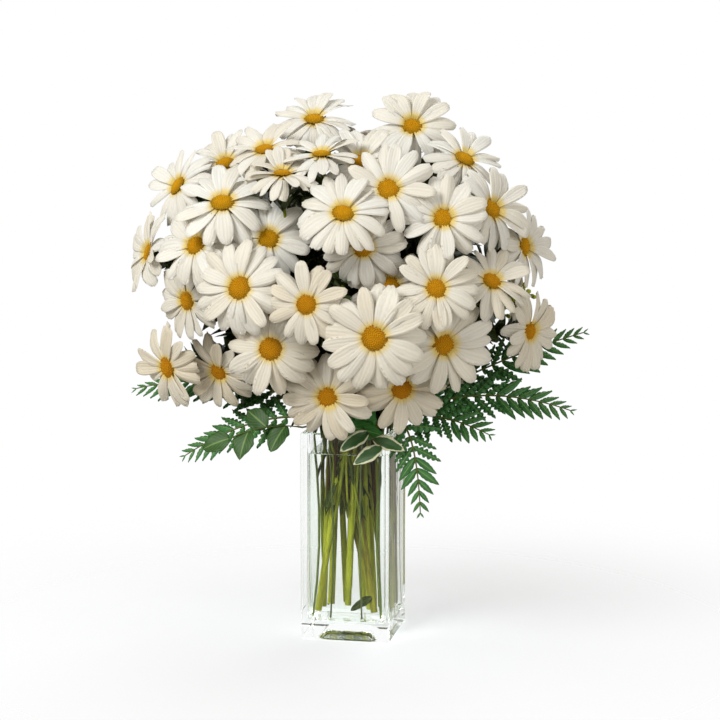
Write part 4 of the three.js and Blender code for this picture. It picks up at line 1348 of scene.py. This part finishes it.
frondTree = makeFrondTree()
pinnaForms = makeCollection("pinna", [
    pinnaForm(i, frondSet) for i in range(2 * frondSet["forms"])])
for order, (name, plan) in enumerate(frondPlans.items()):
    line = [(point, {"share": share, "faces": plan["faces"],
                     "thick": lerp(frondSet["stalk"], frondSet["tip"], max(0, share)) * mm})
            for point, share in stalkLine(plan, frondSet)]
    frond = grow(name, lineMesh(name + "Line", [line]), frondTree, {
        "Leaflets": pinnaForms, "Forms": frondSet["forms"], "Plain": frondSet["plain"],
        "Every": frondSet["every"] * mm, "Length": plan["length"] * mm,
        "Shortest": frondSet["shortest"] * mm, "Spread": frondSet["spread"], "Seed": order,
        "Material": fernMaterial})
    addPiece("fronds" + name[4:], frond, [name])
print("ferns grown")


# Broad leaves and buds

sprigPlans = {
    "leaves_variegated": {"foot": (14, -31), "mouth": (14, -31), "start": (18, -48, 191),
                          "crown": (26, -60, 188), "tip": (38, -66, 178),
                          "faces": (0.1, -0.9, 0.4), "leaves": 3, "length": 28, "half": 6.5,
                          "headings": ((-0.7, -0.5, -0.4), (1, -0.35, -0.2), (-0.9, -0.5, -0.5))},
    "leaves_round": {"foot": (-14, -31), "mouth": (-16, -31), "start": (-36, -46, 190),
                     "crown": (-66, -58, 196), "tip": (-97, -66, 181),
                     "faces": (-0.2, -0.8, 0.5), "leaves": 4, "length": 26, "half": 10},
}
broadSet = {"seat": 0.94, "sway": 1.4, "tipSway": 0.2, "sag": 0.22, "fold": 0.17, "wave": 1.1,
            "thick": 0.45, "stalk": 0.8, "thin": 0.7}


def broadLeaf(seed, plan, settings):
    draw = random.Random(400 + seed)
    length, half = plan["length"] * mm, plan["half"] * mm
    phase = draw.uniform(0, 6)

    def place(u, v):
        width = math.sin(math.pi * min(1, 0.04 + 0.96 * v) ** 0.85) ** 0.75
        wave = settings["wave"] * mm * math.sin(9 * v + phase + 1.5 * u) * u * u
        y = u * half * width * (1 + 0.05 * math.sin(21 * v + phase))
        z = settings["fold"] * abs(u) * half * width + wave - settings["sag"] * length * v * v
        return length * v, y, z

    return bladeMesh(f"broad{seed}", 8, 14, settings["thick"] * mm, place)


# A leaf set at its root, pointing along its heading with its upper side turned to "faces".
def setLeaf(seed, plan, root, heading, faces):
    heading, faces = Vector(heading).normalized(), Vector(faces)
    left = faces.cross(heading).normalized()
    turn = Matrix((heading, left, heading.cross(left))).transposed().to_4x4()
    return broadLeaf(seed, plan, broadSet), Matrix.Translation(root) @ turn


# The stalk of a sprig, "thick" in the vase and "thin" of that along its arch.
def stalkBar(plan, thick, thin):
    rows = stalkLine(plan, frondSet)
    radii = [thick * mm * (1 if share < 0.1 else thin) for _, share in rows]
    return barMesh("stalk", [point for point, _ in rows], radii, 8), unturned


# A point of a sprig's arch, and which way the arch runs there.
def archPoint(plan, along):
    start, crown, tip = archOf(plan)
    return (bezier(start, crown, tip, along),
            (crown - start).lerp(tip - crown, along).normalized())


# Leaves left and right of the arch in turn, the last at its tip, unless "headings" says how
# each one points.
def sprigMesh(name, plan, settings):
    placed = [stalkBar(plan, settings["stalk"], settings["thin"])]
    for i in range(plan["leaves"]):
        root, ahead = archPoint(plan, (i + settings["seat"]) / plan["leaves"])
        side = ahead.cross(Vector(plan["faces"])).normalized()
        atTip = i == plan["leaves"] - 1
        sway = settings["tipSway"] if atTip else settings["sway"] * (1 if i % 2 else -1)
        heading = plan["headings"][i] if "headings" in plan else ahead + side * sway
        placed.append(setLeaf(i, plan, root, heading, plan["faces"]))
    return joinMeshes(name, placed)


# Plain leaves that fill the gap over the front of the rim, each on a short stalk from the
# stems.
rimPlan = {"faces": (0, -0.85, 0.5), "stalk": 0.7, "leaves": (
    {"from": (4, -14, 186), "root": (-1, -44, 192), "heading": (1, -0.35, -0.06),
     "length": 38, "half": 9},
    {"from": (12, -14, 186), "root": (18, -42, 190), "heading": (0.2, -0.3, 0.9),
     "length": 25, "half": 10},
    {"from": (4, -14, 186), "root": (6, -41, 190), "heading": (-0.35, -0.3, 0.8),
     "length": 22, "half": 8})}


def rimMesh(name, plan):
    placed = []
    for i, one in enumerate(plan["leaves"]):
        start, root = Vector(one["from"]) * mm, Vector(one["root"]) * mm
        bend = start.lerp(root, 0.5) + Vector((0, 0, 5 * mm))
        line = [bezier(start, bend, root, k / 6) for k in range(7)]
        placed.append((barMesh("rimStalk", line, [plan["stalk"] * mm] * 7, 8), unturned))
        placed.append(setLeaf(20 + i, one, root, one["heading"], plan["faces"]))
    return joinMeshes(name, placed)


# A strip of leaf that was left low on one stem, near the floor of the vase.
lowLeaf = {"root": (22, -24.5, 38), "heading": (-0.85, -0.12, -0.5), "faces": (0, -0.9, 0.4),
           "length": 23, "half": 4}

variegated, rounded = [sprigMesh(name, plan, broadSet) for name, plan in sprigPlans.items()]
low = setLeaf(30, lowLeaf, Vector(lowLeaf["root"]) * mm, lowLeaf["heading"], lowLeaf["faces"])
addPiece("cream_edged_leaves", variegated, ["leaves_variegated"],
         variegatedMaterial)
addPiece("rounded_leaves", rounded, ["leaves_round"], roundMaterial)
addPiece("rim_leaves", rimMesh("rim_leaves", rimPlan), ["leaves_variegated"],
         rimMaterial)
addPiece("low_leaf", joinMeshes("low_leaf", [low]), ["stems"], soakedMaterial)

budPlan = {"foot": (8, 31), "mouth": (14, 31), "start": (44, 44, 216), "crown": (96, 30, 268),
           "tip": (152, 18, 306), "from": 0.74, "buds": 22, "radius": (2.2, 3.8), "share": 0.8,
           "twig": 9, "twigEnds": (0.6, 0.5), "stalk": 1.0, "thin": 0.6}


# A shut bud: an egg of overlapping sepals that ends in a blunt point.
def budForm(seed):
    draw = random.Random(500 + seed)
    sides, count = 10, 8
    rings = [[(0, 0, -1)]]
    for j in range(1, count):
        tilt = math.pi * j / count
        z = -math.cos(tilt) * (1.15 if j > count / 2 else 1)
        rings.append([])
        for k in range(sides):
            turn = 2 * math.pi * k / sides + 0.25 * j
            out = math.sin(tilt) * (1 + 0.1 * math.cos(5 * turn)) * draw.uniform(0.96, 1.04)
            rings[-1].append((0.85 * out * math.cos(turn), 0.85 * out * math.sin(turn), z))
    return ringMesh(f"bud{seed}", [*rings, [(0, 0, 1.25)]])


# Buds round the far part of the arch by the golden angle, each on a twig, the last at the tip.
def budSpray(plan):
    draw = random.Random(7)
    placed = [stalkBar(plan, plan["stalk"], plan["thin"])]
    last = plan["buds"] - 1
    for i in range(plan["buds"]):
        root, ahead = archPoint(plan, lerp(plan["from"], 1, i / last))
        side = Vector((0, 0, 1)).cross(ahead).normalized()
        turn = Matrix.Rotation(goldenAngle * i, 3, ahead)
        heading = (turn @ side + ahead * 0.6).normalized()
        reach = plan["twig"] * mm * draw.uniform(0.6, 1.3)
        size = lerp(*plan["radius"], draw.random()) * mm * plan["share"]
        end = root
        if i < last:
            end = root + heading * reach
            ends = [radius * mm for radius in plan["twigEnds"]]
            placed.append((barMesh(f"twig{i}", [root, end], ends, 6), unturned))
        facing = heading.to_track_quat("Z", "Y").to_matrix().to_4x4()
        matrix = Matrix.Translation(end) @ facing @ Matrix.Scale(size, 4)
        placed.append((budForm(i), matrix))
    return joinMeshes("bud_spray", placed)


addPiece("green_buds", budSpray(budPlan), ["bud_spray"], budMaterial)
print("leaves and buds ready")
